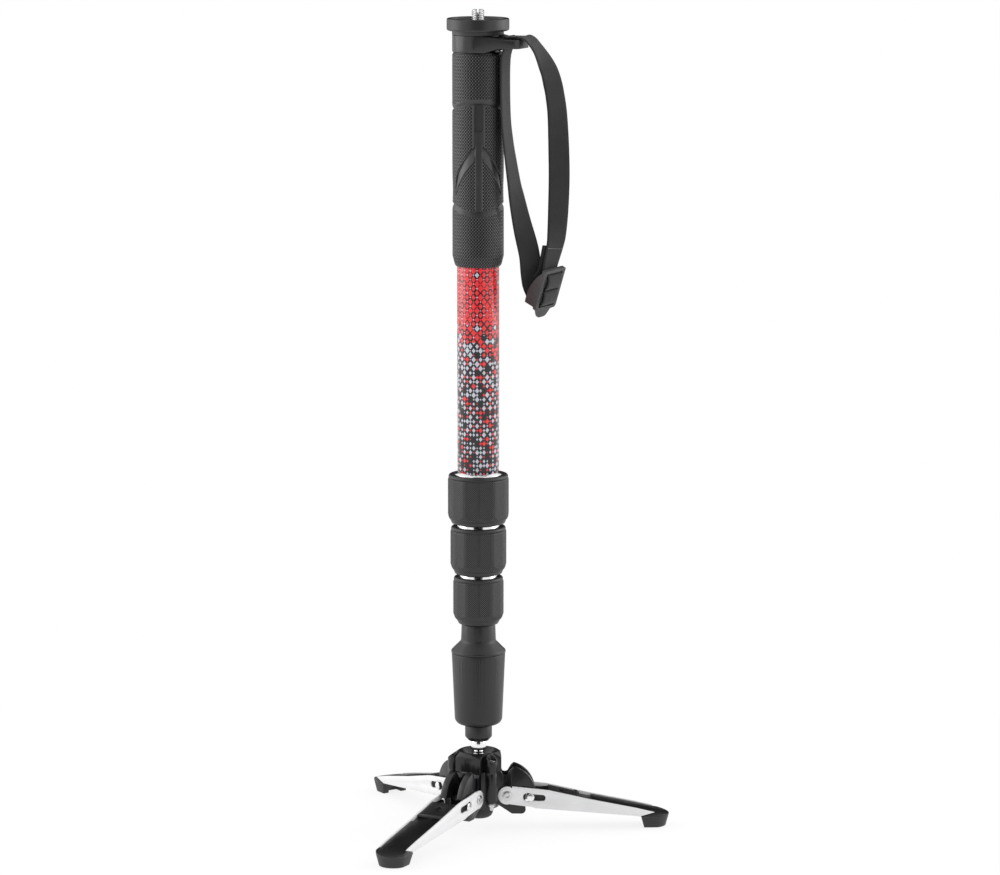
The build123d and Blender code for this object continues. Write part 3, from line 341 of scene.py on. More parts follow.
def moulded(name, colour, roughness, grain=0.35, depth=0.03, wear_and_highlight=0.35, specular=0.5, edge_width=0.35,
            worn_highlight_share=2.2, knurled=False):
    """Moulded plastic or rubber: grain, drifting tone, pale edges that are partly worn and partly a painted
    highlight, and on a knurl painted shade in its grooves, a painted highlight on its tips, and gloss.
    """
    material, tree, shader = start_material(name, colour, roughness, specular=specular)
    place = object_place(tree)
    grain_out = use_group(tree, GRAIN, {"Place": place, "Grain Size": grain, "Drift Size": DRIFT_SIZE})
    edge = use_group(tree, WEAR_AND_HIGHLIGHT, {"Place": place, "Radius": edge_width, "Patchiness": PATCH_SIZE})["Mask"]
    tone = filled(grain_out["Tone"])
    base = blend_colours(tree, tone, tint(colour, 1 - TONE_SPREAD), tint(colour, 1 + TONE_SPREAD))
    if knurled:
        relief = Field(tree, add_node(tree, "ShaderNodeAttribute", attribute_name="relief").outputs["Fac"])
        # Painted shade darkens the knurl's grooves and a painted highlight lightens its tips
        base = blend_colours(tree, relief.ramp(*GROOVE_SPAN), tint(colour, GROOVE_PAINTED_SHADE), base)
        base = blend_colours(tree, relief.ramp(*TIP_SPAN), base, tint(colour, TIP_PAINTED_HIGHLIGHT))
        glint = math.sqrt(TIP_REFLECTANCE * specular)
        shader.inputs["Specular IOR Level"].default_value = GROOVE_GLOSS * specular
        shader.inputs["Coat IOR"].default_value = (1 + glint) / (1 - glint)
        shader.inputs["Coat Roughness"].default_value = roughness
        feed(tree, relief.ramp(*GLOSS_SPAN), shader.inputs["Coat Weight"])
    # Pale edges lifted into the colour: partly worn, partly a painted highlight along the edges
    worn_highlight_colour = tuple(min(1.0, c + WORN_HIGHLIGHT_LIFT) for c in tint(colour, worn_highlight_share))
    feed(tree, blend_colours(tree, edge * wear_and_highlight, base, worn_highlight_colour), shader.inputs["Base Color"])
    gloss = tone * GLOSS_SPREAD + (roughness - GLOSS_SPREAD / 2) - edge * WORN_POLISH
    feed(tree, gloss, shader.inputs["Roughness"])
    add_bump(tree, shader, grain_out["Height"], depth)
    return material


# Darkest tone of a metal, as a share of its colour
METAL_SHADE = 0.94


def metal(name, colour, roughness, along=(1.0, 1.0, 0.02), line=0.2, depth=0.004, vary=0.08, bare=1.0):
    """Metal with fine lines from turning or brushing; bare is under 1 where it is anodised or lacquered."""
    material, tree, shader = start_material(name, colour, roughness, metallic=bare)
    place = object_place(tree)
    lines = use_group(tree, BRUSHING, {"Place": place, "Along": along, "Line Size": line})
    tone = filled(lines["Tone"])
    feed(tree, blend_colours(tree, tone, tint(colour, METAL_SHADE), colour), shader.inputs["Base Color"])
    feed(tree, lines["Height"] * vary + (roughness - vary / 2), shader.inputs["Roughness"])
    add_bump(tree, shader, lines["Height"], depth)
    return material


# Print of the upper tube: its colours, its lattice, and where on its height it turns to red
PRINT_BLACK, PRINT_RED, PRINT_PALE = (0.006, 0.005, 0.008), (0.84, 0.024, 0.030), (0.52, 0.53, 0.60)
PRINT_COLUMNS, PRINT_PITCH = 19.0, 6.4
RED_FROM, RED_FULL = 0.48, 0.74
PRINT_DEPTH = 0.01


def printed_tube(name, low, high):
    """Glossy black tube with a lattice of red and pale lozenges, fuller and redder towards the top."""
    material, tree, shader = start_material(name, PRINT_BLACK, 0.30)
    place = object_place(tree)
    x, y, z = parts_of(tree, place)
    around = y.math("ARCTAN2", x) / FULL_TURN
    height = z / MM
    rise = height.ramp(low, high)
    redness = rise.ramp(RED_FROM, RED_FULL)
    large = use_group(tree, LOZENGES, {
        "Around": around, "Height": height, "Columns": PRINT_COLUMNS, "Pitch": PRINT_PITCH,
        "Size": redness.from_to(0.50, 0.70) + rise * 0.08, "Change": redness.from_to(0.60, 0.35),
        "Seed": 1.0})
    small = use_group(tree, LOZENGES, {
        "Around": around + 0.5 / PRINT_COLUMNS, "Height": height, "Columns": PRINT_COLUMNS,
        "Pitch": PRINT_PITCH, "Size": redness.from_to(0.29, 0.22), "Change": 0.9, "Seed": 2.0})
    large_ink = blend_colours(tree, large["Lot"].above(redness.from_to(0.80, 0.12)), PRINT_PALE, PRINT_RED)
    small_ink = blend_colours(tree, small["Lot"].above(redness.from_to(0.45, 0.70)), PRINT_PALE, PRINT_RED)
    large_mask = large["Mask"] * large["Lot"].above(redness.from_to(0.24, 0.0))
    small_mask = small["Mask"] * small["Lot"].above(0.20)
    colour = blend_colours(tree, small_mask, PRINT_BLACK, small_ink)
    feed(tree, blend_colours(tree, large_mask, colour, large_ink), shader.inputs["Base Color"])
    grain_out = use_group(tree, GRAIN, {"Place": place, "Grain Size": 0.5, "Drift Size": 18.0})
    feed(tree, filled(grain_out["Tone"]).from_to(0.26, 0.34), shader.inputs["Roughness"])
    add_bump(tree, shader, large_mask.most(small_mask) + grain_out["Height"] * 0.2, PRINT_DEPTH)
    shader.inputs["Coat Weight"].default_value = 0.3
    shader.inputs["Coat Roughness"].default_value = 0.15
    return material


WEBBING_WIDTH = 15.0
WEBBING_THICKNESS = 1.5
THREAD_PITCH = 0.62
SELVEDGE_OUTER, SELVEDGE_INNER = 0.5, 1.1


def woven(name, colour):
    """Webbing: twill threads from the tape's own map, denser and darker at its edges."""
    material, tree, shader = start_material(name, colour, 0.72, specular=0.35)
    tape_map = add_node(tree, "ShaderNodeUVMap", uv_map="tape")
    across, along, _ = parts_of(tree, Field(tree, tape_map.outputs[0]))
    across = across / MM
    weave = use_group(tree, TWILL, {"Across": across, "Along": along / MM, "Thread": THREAD_PITCH})
    place = object_place(tree)
    drift = use_group(tree, GRAIN, {"Place": place, "Grain Size": 0.3, "Drift Size": 14.0})
    tone = weave["Tone"] * 0.6 + filled(drift["Tone"]) * 0.4
    body = blend_colours(tree, tone, tint(colour, 1.35), tint(colour, 0.70))
    half = WEBBING_WIDTH / 2
    edge = (across - half).size().ramp(half - SELVEDGE_INNER, half - SELVEDGE_OUTER)
    feed(tree, blend_colours(tree, edge, body, tint(colour, 0.45)), shader.inputs["Base Color"])
    shader.inputs["Sheen Weight"].default_value = 0.12
    shader.inputs["Sheen Roughness"].default_value = 0.5
    add_bump(tree, shader, weave["Height"] + drift["Height"] * 0.4, 0.10)
    return material


CHARCOAL = (0.022, 0.022, 0.023)
BLACK = (0.007, 0.007, 0.008)
BASE_BLACK = (0.014, 0.014, 0.015)
CHROME = (0.90, 0.90, 0.91)
PRINT_START = 30.0

TUBE_LOW = box_mm("tube_1")[0].z
GRIP_LOW, GRIP_HIGH = (corner.z for corner in box_mm("grip"))
FINISHES = {
    # Edge colour lifted tenfold: a painted highlight along the hub's edges
    "hub_plastic": moulded("Hub plastic", BLACK, 0.30, grain=0.30, depth=0.008, wear_and_highlight=0.9, edge_width=0.8,
                           worn_highlight_share=10.0),
    "ball_seat": moulded("White acetal", (0.75, 0.75, 0.72), 0.35, depth=0.004, wear_and_highlight=0.0),
    "steel_fasteners": metal("Zinc steel", (0.66, 0.66, 0.67), 0.28),
    # Edge colour lifted fivefold: a painted highlight on the boot's rim
    "foot_rubber": moulded("Foot rubber", (0.020, 0.020, 0.021), 0.50, grain=0.4, depth=0.04, wear_and_highlight=1.0,
                           edge_width=1.5, worn_highlight_share=5.0),
    "chrome_stem": metal("Chrome", CHROME, 0.14, line=0.3, depth=0.001, vary=0.03),
    "screw_steel": metal("Screw steel", (0.74, 0.74, 0.75), 0.36, line=0.15),
    "damper_alloy": metal("Turned alloy", (0.78, 0.79, 0.80), 0.30),
    "base_plastic": moulded("Base plastic", BASE_BLACK, 0.40, grain=0.28, depth=0.015, wear_and_highlight=0.3),
    "base_housing": moulded("Base housing", BASE_BLACK, 0.42, grain=0.22, depth=0.02, wear_and_highlight=0.3),
    "grip_rubber": moulded("Grip rubber", CHARCOAL, 0.42, grain=0.25, depth=0.02, wear_and_highlight=0.22, specular=0.6,
                           knurled=True),
    "head_alloy": metal("Head alloy", (0.05, 0.05, 0.05), 0.40),
    "plate_alloy": moulded("Plate paint", (0.024, 0.024, 0.025), 0.40, grain=0.22, depth=0.015, wear_and_highlight=0.5),
    "pad_rubber": moulded("Pad rubber", (0.016, 0.016, 0.017), 0.70, grain=0.5, depth=0.06, wear_and_highlight=0.1),
    "collar_plastic": moulded("Collar plastic", CHARCOAL, 0.30, grain=0.30, depth=0.01, wear_and_highlight=0.6),
    "webbing": woven("Webbing", CHARCOAL),
    # Edge colour lifted fourfold: painted highlight lines along the buckle's edges
    "buckle_plastic": moulded("Buckle plastic", (0.055, 0.055, 0.056), 0.50, grain=0.30, depth=0.008,
                              wear_and_highlight=1.0, specular=0.3, edge_width=0.6, worn_highlight_share=4.0),
    "printed_tube": printed_tube("Printed tube", TUBE_LOW + PRINT_START, GRIP_LOW),
    "bare_tube": metal("Black tube", (0.06, 0.06, 0.065), 0.34),
    "guide_plastic": moulded("Guide acetal", (0.70, 0.70, 0.68), 0.40, depth=0.004, wear_and_highlight=0.0),
    "lock_chrome": metal("Bright cone", CHROME, 0.17, line=0.3, depth=0.001, vary=0.03),
    "collet_plastic": moulded("Collet plastic", (0.10, 0.10, 0.10), 0.40, wear_and_highlight=0.1),
    "lock_plastic": moulded("Lock plastic", CHARCOAL, 0.45, grain=0.28, depth=0.012, wear_and_highlight=0.3),
    "lock_rubber": moulded("Lock rubber", CHARCOAL, 0.46, grain=0.25, depth=0.02, wear_and_highlight=0.25, knurled=True),
    "leg_plates": metal("Leg plate", (0.82, 0.82, 0.83), 0.48, along=(0.05, 0.05, 1.0), line=0.25,
                        depth=0.003, vary=0.08, bare=0.20),
    "leg_plastic": moulded("Leg plastic", BLACK, 0.34, grain=0.30, depth=0.01, wear_and_highlight=0.5),
    "slider_plastic": moulded("Slider plastic", BLACK, 0.45, grain=0.30, depth=0.01, wear_and_highlight=0.5),
    "stud_steel": metal("Stud steel", CHROME, 0.22, line=0.3, depth=0.001, vary=0.04),
    "spring_steel": metal("Spring wire", (0.60, 0.60, 0.60), 0.30),
}
THREAD = moulded("Sewing thread", (0.16, 0.16, 0.165), 0.6, grain=0.2, depth=0.02, wear_and_highlight=0.0)


# Pieces

def link(item):
    bpy.context.scene.collection.objects.link(item)
    return item


def finish_piece(piece, body, slot, replaced=(), material=None):
    """Gives a piece its finish and its body, and hides the CAD nodes that it stands for."""
    piece.data.materials.clear()
    piece.data.materials.append(material or FINISHES[slot])
    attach(piece, body)
    if replaced:
        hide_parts(*replaced)
    return piece


def mesh_object(name, points, faces):
    """A mesh object from points in millimetres."""
    mesh = bpy.data.meshes.new(name)
    mesh.from_pydata([Vector(p) * MM for p in points], [], faces)
    mesh.validate()
    mesh.update()
    return link(bpy.data.objects.new(name, mesh))


def settle(piece):
    """Applies a piece's modifiers and leaves a plain mesh."""
    bpy.context.view_layer.update()
    evaluated = piece.evaluated_get(bpy.context.evaluated_depsgraph_get())
    mesh = bpy.data.meshes.new_from_object(evaluated)
    piece.modifiers.clear()
    piece.data = mesh
    return piece


def shade(piece, sharp=35.0):
    piece.data.shade_smooth()
    piece.data.set_sharp_from_angle(angle=math.radians(sharp))
    return piece


def around_faces(rows, columns, closed=True):
    """Faces between rows of points that close around the axis; closed joins the last row to the first."""
    faces = []
    for row in range(rows if closed else rows - 1):
        here, above = row * columns, (row + 1) % rows * columns
        for column in range(columns):
            after = (column + 1) % columns
            faces.append((here + column, here + after, above + after, above + column))
    return faces


MERGE_DISTANCE = 0.002
FLAT_ANGLE = math.radians(0.6)
ROUND_ANGLE = math.radians(28.0)
ROUND_SEGMENTS = 2


def rounded_copy(node, width):
    """A merged copy of a CAD node with its edges rounded, standing in its place."""
    mesh = frame["nodes"][node].data.copy()
    work = bmesh.new()
    work.from_mesh(mesh)
    bmesh.ops.remove_doubles(work, verts=work.verts, dist=MERGE_DISTANCE * MM)
    bmesh.ops.dissolve_limit(work, angle_limit=FLAT_ANGLE, verts=work.verts, edges=work.edges)
    work.to_mesh(mesh)
    work.free()
    piece = link(bpy.data.objects.new(f"{node}_body", mesh))
    bevel = piece.modifiers.new("Round", "BEVEL")
    bevel.width = width * MM
    bevel.segments = ROUND_SEGMENTS
    bevel.limit_method = "ANGLE"
    bevel.angle_limit = ROUND_ANGLE
    bevel.use_clamp_overlap = True
    settle(piece)
    shade(piece)
    return finish_piece(piece, BODY_OF[node], SLOT_OF[node], [node])


# Knurled rubber sleeve on the upper tube
GRIP_RADIUS = 18.3
GRIP_COLUMNS_PER_DIAMOND = 5
GRIP_DIAMONDS = 54
GRIP_DIAMOND_HEIGHT = 2.4
GRIP_KNURL = 0.42
GRIP_FOOT = [(0.0, 15.9), (1.2, 16.7), (7.5, GRIP_RADIUS)]
GRIP_LOW_RIM, GRIP_HIGH_RIM = 2.5, 0.8
GRIP_TOP_ROUND = 0.5
WAIST_HEIGHT, WAIST_HALF, WAIST_DEPTH = 466.0, 9.0, 0.35
TUBE_RADIUS = 15.0

# A knurl's relief as its material reads it: the level of plain rubber, and the ridge height at that level
PLAIN_RELIEF, PLAIN_RIDGE = 0.55, 0.45

# Two bands round the sleeve, steep on the inner side, with no knurl from near to far of their lines
UPPER_BAND, UPPER_BAND_RISE = 524.4, 5.5
LOWER_BAND, LOWER_BAND_DROP = 455.4, 5.1
BAND_DEPTH = 1.0
BAND_NEAR, BAND_FAR = 1.9, 2.4
BAND_STEEP_END, BAND_FLOOR, BAND_SLOPE_END = 1.8, 1.2, 2.2

# Between the bands, on both faces: a panel with a recess, an arch below it, and a bar down the middle
PANEL_HALF, PANEL_EDGE, PANEL_RISE = 4.5, 0.5, 0.25
RECESS_HALF, RECESS_LOW, RECESS_DEPTH = 2.8, 509.2, 0.9
BAR_HALF, BAR_RISE, BAR_EDGE = 2.9, 0.35, 0.6
ARCH_OUTER = [
    (0.0, 500.8), (2.0, 499.4), (6.0, 495.0), (11.5, 488.0), (17.5, 479.2), (19.6, 473.5), (20.9, 465.5),
]
ARCH_INNER = [(0.0, 488.6), (3.4, 487.6), (8.0, 482.6), (13.0, 475.6), (16.4, 470.0), (20.0, 463.5)]
ARCH_END, ARCH_SIDE, ARCH_LEAST = 463.0, 21.5, 0.5
ARCH_DEPTH, ARCH_SLOPE = 1.0, 1.5


def between(table, at):
    """Straight-line value of a table of (place, value) pairs."""
    if at <= table[0][0]:
        return table[0][1]
    for (a, value_a), (b, value_b) in zip(table, table[1:]):
        if at <= b:
            return value_a + (value_b - value_a) * (at - a) / (b - a)
    return table[-1][1]


def ease(at, low, high):
    """0 at low, 1 at high, level at both ends."""
    share = min(1.0, max(0.0, (at - low) / (high - low)))
    return share * share * (3 - 2 * share)


def zigzag(at):
    """A wave of straight runs: 0 at whole numbers, 1 halfway between them."""
    return 1 - abs(2 * (at % 1.0) - 1)


def band_cut(past):
    """Depth of a band, by the distance past its line."""
    slope_end = BAND_SLOPE_END if past > -BAND_FLOOR else -BAND_STEEP_END
    return BAND_DEPTH * ease(past, slope_end, -BAND_FLOOR)


def grip_relief(turn, height):
    """Offset of the grip's surface and how much knurl it carries, at a turn from the front."""
    side = GRIP_RADIUS * math.asin(abs(math.sin(turn)))
    front = math.cos(turn) ** 2
    upper = UPPER_BAND + UPPER_BAND_RISE * front
    lower = LOWER_BAND - LOWER_BAND_DROP * front
    offset, knurl = 0.0, 1.0
    for past in (height - upper, lower - height):
        if -BAND_NEAR < past < BAND_FAR:
            knurl = 0.0
            offset -= band_cut(past)
    if not lower + BAND_NEAR <= height <= upper - BAND_NEAR:
        return offset, knurl
    outer, inner = between(ARCH_OUTER, side), between(ARCH_INNER, side)
    if height > outer:
        if side < PANEL_HALF:
            knurl = 0.0
            offset += PANEL_RISE * ease(PANEL_HALF - side, 0.0, PANEL_EDGE)
        if side < RECESS_HALF and height > RECESS_LOW:
            offset -= RECESS_DEPTH
        return offset, knurl
    if height > inner and height > ARCH_END and side < ARCH_SIDE:
        knurl = 0.0
        offset += ARCH_SLOPE * (outer - height) / max(outer - inner, ARCH_LEAST) - ARCH_DEPTH
    if side < BAR_HALF:
        knurl = 0.0
        offset = BAR_RISE - BAR_EDGE * ease(side, BAR_HALF - BAR_EDGE, BAR_HALF)
    return offset, knurl


def grip_radius_at(height):
    """Plain radius of the sleeve: a drawn-in foot and a slight waist."""
    waist = WAIST_DEPTH * math.exp(-((height - WAIST_HEIGHT) / WAIST_HALF) ** 2)
    return between(GRIP_FOOT, height - GRIP_LOW) - waist


def knurled_grip():
    columns = GRIP_DIAMONDS * GRIP_COLUMNS_PER_DIAMOND
    step = GRIP_DIAMOND_HEIGHT / GRIP_COLUMNS_PER_DIAMOND
    rows = int((GRIP_HIGH - GRIP_LOW) / step) + 1
    turns = [FULL_TURN * column / columns for column in range(columns)]
    points, relief = [], []
    for row in range(rows + 1):
        height = min(GRIP_HIGH, GRIP_LOW + row * step)
        plain = grip_radius_at(height) - GRIP_TOP_ROUND * ease(height, GRIP_HIGH - GRIP_HIGH_RIM, GRIP_HIGH)
        rim = ease(height, GRIP_LOW, GRIP_LOW + GRIP_LOW_RIM) * ease(GRIP_HIGH - height, 0.0, GRIP_HIGH_RIM)
        up = row / GRIP_COLUMNS_PER_DIAMOND
        for column, turn in enumerate(turns):
            across = column / GRIP_COLUMNS_PER_DIAMOND
            offset, knurl = grip_relief(turn, height)
            ridge = min(zigzag(across + up), zigzag(across - up))
            radius = plain + offset * rim + GRIP_KNURL * knurl * rim * (ridge - 0.5)
            points.append((radius * math.sin(turn), -radius * math.cos(turn), height))
            relief.append(PLAIN_RELIEF + (ridge - PLAIN_RIDGE) * knurl)
    for height in (GRIP_HIGH, GRIP_LOW):
        points += [(TUBE_RADIUS * math.sin(turn), -TUBE_RADIUS * math.cos(turn), height) for turn in turns]
    piece = mesh_object("grip_sleeve", points, around_faces(rows + 3, columns))
    relief += [PLAIN_RELIEF] * (len(points) - len(relief))
    piece.data.attributes.new("relief", "FLOAT", "POINT").data.foreach_set("value", relief)
    shade(piece, 40.0)
    return finish_piece(piece, "section_1", "grip_rubber", ["grip"])


# Faceted knurled rings of the twist locks, from one Geometry Nodes tree
RING_STEPS = 4.0
FACET_TRIM = 0.25
KNURL_FADE = 0.2
GROOVE_HALF, GROOVE_DEPTH = 0.35, 0.22


def lock_ring_tree():
    """Knurled ring with broad facets: a grid wrapped round the axis."""
    tree, given, sink = start_group(
        "Knurled ring", "GeometryNodeTree",
        [("Radius", FLOAT, 20.0), ("Low", FLOAT, 0.0), ("Height", FLOAT, 24.0), ("Facets", FLOAT, 12.0),
         ("Diamonds", FLOAT, 108.0), ("Diamonds Up", FLOAT, 20.0), ("Knurl", FLOAT, 0.30),
         ("Plain Edge", FLOAT, 0.8), ("Chamfer", FLOAT, 0.5), ("Draw", FLOAT, 1.3),
         ("Draw Height", FLOAT, 5.1), ("Finish", FINISH, None)],
        [("Geometry", GEOMETRY)],
    )
    grid = add_node(tree, "GeometryNodeMeshGrid", {
        "Size X": 1.0, "Size Y": 1.0, "Vertices X": given["Diamonds"] * RING_STEPS + 1.0,
        "Vertices Y": given["Diamonds Up"] * RING_STEPS + 1.0})
    spot = add_node(tree, "GeometryNodeInputPosition")
    u, v, _ = parts_of(tree, spot.outputs[0])
    u, v = u + 0.5, v + 0.5
    turn = u * FULL_TURN
    facet = ((u * given["Facets"]).fract() - 0.5) * FULL_TURN / given["Facets"]
    half_angle = given["Facets"].math("POWER", -1.0) * math.pi
    apothem = given["Radius"] * half_angle.cosine()
    flat_radius = (apothem / facet.cosine()).least(given["Radius"] - FACET_TRIM)
    up = v * given["Height"]
    drawn = given["Radius"] - given["Draw"] * (1.0 - (up / given["Draw Height"]).least(1.0))
    flat_radius = flat_radius.least(drawn)
    across = u * given["Diamonds"]
    rise = v * given["Diamonds Up"]
    knurl = (across + rise).zigzag().least((across - rise).zigzag())
    edge = up.least(given["Height"] - up)
    amount = edge.ramp(given["Plain Edge"] - KNURL_FADE, given["Plain Edge"] + KNURL_FADE)
    groove = 1.0 - ((edge - given["Plain Edge"]).size() / GROOVE_HALF).least(1.0)
    rounding = 1.0 - edge.ramp(0.0, given["Chamfer"])
    radius = flat_radius + knurl * amount * given["Knurl"]
    radius = radius - groove * GROOVE_DEPTH - rounding * rounding * given["Chamfer"]
    place = vector_of(tree, radius * turn.cosine() * MM, radius * turn.sine() * MM, (given["Low"] + up) * MM)
    relief = PLAIN_RELIEF + (knurl - PLAIN_RIDGE) * amount
    stored = add_node(tree, "GeometryNodeStoreNamedAttribute",
                      {"Geometry": grid.outputs["Mesh"], "Name": "relief", "Value": relief},
                      data_type="FLOAT", domain="POINT")
    moved = add_node(tree, "GeometryNodeSetPosition", {"Geometry": stored.outputs[0], "Position": place})
    merged = add_node(tree, "GeometryNodeMergeByDistance",
                      {"Geometry": moved.outputs[0], "Distance": MERGE_DISTANCE * MM})
    finish_tree(tree, merged.outputs[0], given["Finish"], sink)
    return tree


def finish_tree(tree, geometry, finish, sink):
    """Ends a Geometry Nodes tree: real geometry in place of instances, with its finish."""
    whole = add_node(tree, "GeometryNodeRealizeInstances", {"Geometry": geometry})
    finished = add_node(tree, "GeometryNodeSetMaterial", {"Geometry": whole.outputs[0], "Material": finish})
    feed(tree, finished.outputs[0], sink.inputs["Geometry"])


def run_tree(name, tree, values):
    """A plain mesh object made by a Geometry Nodes tree with the given inputs."""
    piece = link(bpy.data.objects.new(name, bpy.data.meshes.new(name)))
    modifier = piece.modifiers.new("Make", "NODES")
    modifier.node_group = tree
    sockets = {item.name: item.identifier for item in tree.interface.items_tree if item.in_out == "INPUT"}
    for label, value in values.items():
        modifier[sockets[label]] = value
    return settle(piece)


def close_ring(piece, bore):
    """Adds the end faces and the bore to an open knurled band."""
    work = bmesh.new()
    work.from_mesh(piece.data)
    rims = [edge for edge in work.edges if edge.is_boundary]
    made = bmesh.ops.extrude_edge_only(work, edges=rims)
    for vertex in (item for item in made["geom"] if isinstance(item, bmesh.types.BMVert)):
        reach = math.hypot(vertex.co.x, vertex.co.y)
        vertex.co.x *= bore * MM / reach
        vertex.co.y *= bore * MM / reach
    rims = [edge for edge in work.edges if edge.is_boundary]
    bmesh.ops.bridge_loops(work, edges=rims)
    bmesh.ops.recalc_face_normals(work, faces=work.faces)
    work.to_mesh(piece.data)
    work.free()


# Each ring's outer radius, how far its foot is drawn in, and the diamonds round it
LOCK_RINGS = {1: (21.95, 1.0, 84.0), 2: (20.2, 1.5, 78.0), 3: (18.25, 1.8, 70.0)}
NUT_GAP, NUT_WALL = 0.3, 2.0


def lock_rings():
    tree = lock_ring_tree()
    for number, (radius, draw, diamonds) in LOCK_RINGS.items():
        node = f"lock_{number}_grip"
        low, high = box_mm(node)
        piece = run_tree(f"lock_{number}_ring", tree, {
            "Radius": radius, "Draw": draw, "Low": low.z, "Height": high.z - low.z, "Diamonds": diamonds,
            "Finish": FINISHES["lock_rubber"]})
        close_ring(piece, box_mm(f"lock_{number}_sleeve")[1].x + NUT_GAP + NUT_WALL)
        shade(piece, 40.0)
        finish_piece(piece, f"lock_{number}_turn", "lock_rubber", [node])


# Camera screw with its real thread
INCH = 25.4
THREADS_PER_INCH = 16
SCREW_RADIUS = 4.7625
SCREW_PITCH = INCH / THREADS_PER_INCH
THREAD_DEPTH = 0.61 * SCREW_PITCH
FLANK_SLOPE, CREST_FLAT = 1.15, 0.05
END_CHAMFER = 1.1
SHANK_RADIUS = 4.2
SLOT_HALF, SLOT_DEPTH = 0.7, 2.6
SCREW_COLUMNS = 56
ROWS_PER_PITCH = 8


def camera_thread():
    """The stud: a plain shank in the plate and a thread above the pad, with a slot across its end."""
    low, high = (corner.z for corner in box_mm("camera_screw"))
    start = box_mm("top_pad")[1].z - SCREW_PITCH / 2
    step = SCREW_PITCH / ROWS_PER_PITCH
    rows = int((high - start) / step)
    heights = [low] + [start + (high - start) * row / rows for row in range(rows + 1)]
    points = []
    for height in heights:
        chamfer = max(0.0, END_CHAMFER - (high - height))
        for column in range(SCREW_COLUMNS):
            share = column / SCREW_COLUMNS
            wave = 1 - zigzag((height - start) / SCREW_PITCH - share)
            cut = THREAD_DEPTH * min(1.0, max(0.0, FLANK_SLOPE * wave - CREST_FLAT))
            radius = SCREW_RADIUS - max(cut, chamfer) if height > start else SHANK_RADIUS
            turn = FULL_TURN * share
            points.append((radius * math.cos(turn), radius * math.sin(turn), height))
    last = len(heights) - 1
    faces = around_faces(last + 1, SCREW_COLUMNS, closed=False)
    faces.append(tuple(reversed(range(SCREW_COLUMNS))))
    faces.append(tuple(range(last * SCREW_COLUMNS, (last + 1) * SCREW_COLUMNS)))
    piece = mesh_object("camera_thread", points, faces)
    reach = 2 * SCREW_RADIUS
    cut_away(piece, (-SLOT_HALF, -reach, high - SLOT_DEPTH), (SLOT_HALF, reach, high + SLOT_DEPTH))
    shade(piece, 40.0)
    return finish_piece(piece, "section_1", "screw_steel", ["camera_screw"])


def cut_away(piece, low, high):
    """Takes a box between two corners out of a piece."""
    corners = [(x, y, z) for z in (low[2], high[2]) for y in (low[1], high[1]) for x in (low[0], high[0])]
    cutter = mesh_object("cutter", corners, [
        (0, 2, 3, 1), (4, 5, 7, 6), (0, 1, 5, 4), (2, 6, 7, 3), (0, 4, 6, 2), (1, 3, 7, 5)])
    cut = piece.modifiers.new("Cut", "BOOLEAN")
    cut.object = cutter
    cut.operation = "DIFFERENCE"
    cut.solver = "EXACT"
    settle(piece)
    bpy.data.objects.remove(cutter)


# Wrist strap: places as shares of the loop's reach and drop, and the direction across the tape
LOOP_REACH, LOOP_DROP = 57.4, 186.0
TAPE_ROUTE = [
    ((0.672, 0.082, 0.971), (0.82, 0.56, 0.09)),
    ((0.656, 0.035, 0.923), (0.94, 0.34, 0.04)),
    ((0.634, -0.052, 0.842), (1.00, 0.08, 0.00)),
    ((0.540, -0.122, 0.722), (0.88, 0.47, 0.00)),
    ((0.474, -0.155, 0.624), (0.74, 0.67, 0.00)),
    ((0.444, -0.170, 0.573), (0.64, 0.77, 0.00)),
    ((0.397, -0.183, 0.477), (0.55, 0.84, 0.00)),
    ((0.366, -0.186, 0.406), (0.50, 0.87, 0.00)),
    ((0.338, -0.180, 0.315), (0.47, 0.88, 0.00)),
    ((0.329, -0.176, 0.180), (0.47, 0.88, 0.00)),
    ((0.334, -0.180, 0.090), (0.49, 0.87, 0.00)),
    ((0.363, -0.193, 0.050), (0.47, 0.88, 0.00)),
    ((0.365, -0.194, 0.026), (0.47, 0.88, 0.00)),
    ((0.369, -0.196, 0.0155), (0.47, 0.88, 0.00)),
    ((0.372, -0.1975, 0.0090), (0.47, 0.88, 0.00)),
    ((0.384, -0.204, 0.0044), (0.47, 0.88, 0.00)),
    ((0.406, -0.216, 0.0058), (0.47, 0.88, 0.00)),
    ((0.560, -0.275, 0.0066), (0.42, 0.90, 0.00)),
    ((0.655, -0.272, 0.022), (0.30, 0.88, 0.33)),
    ((0.722, -0.260, 0.048), (0.33, 0.84, 0.40)),
    ((0.775, -0.247, 0.076), (0.45, 0.76, 0.46)),
    ((0.825, -0.230, 0.106), (0.62, 0.65, 0.43)),
    ((0.872, -0.215, 0.138), (0.74, 0.55, 0.38)),
    ((0.910, -0.195, 0.178), (0.84, 0.45, 0.28)),
    ((0.945, -0.175, 0.230), (0.89, 0.43, 0.14)),
    ((0.979, -0.155, 0.320), (0.94, 0.34, 0.03)),
    ((1.000, -0.138, 0.510), (1.00, 0.05, 0.00)),
    ((0.993, -0.118, 0.650), (0.97, 0.20, 0.00)),
    ((0.974, -0.100, 0.760), (0.90, 0.42, 0.02)),
    ((0.951, -0.095, 0.810), (0.82, 0.55, 0.08)),
]
BUCKLE_PLACE = (0.863, -0.050, 0.9725)
BUCKLE_ACROSS = Vector((0.69, 0.72, 0.08)).normalized()
BUCKLE_DOWN = Vector((-0.23, 0.32, -0.92))
BUCKLE_THICKNESS = 3.0
BUCKLE_LEAD, LEAD_DEPTH, LEAD_OUT = 13.6, 2.6, 7.0
LOOP_TOP = box_mm("strap_collar")[1].z + WEBBING_THICKNESS / 4

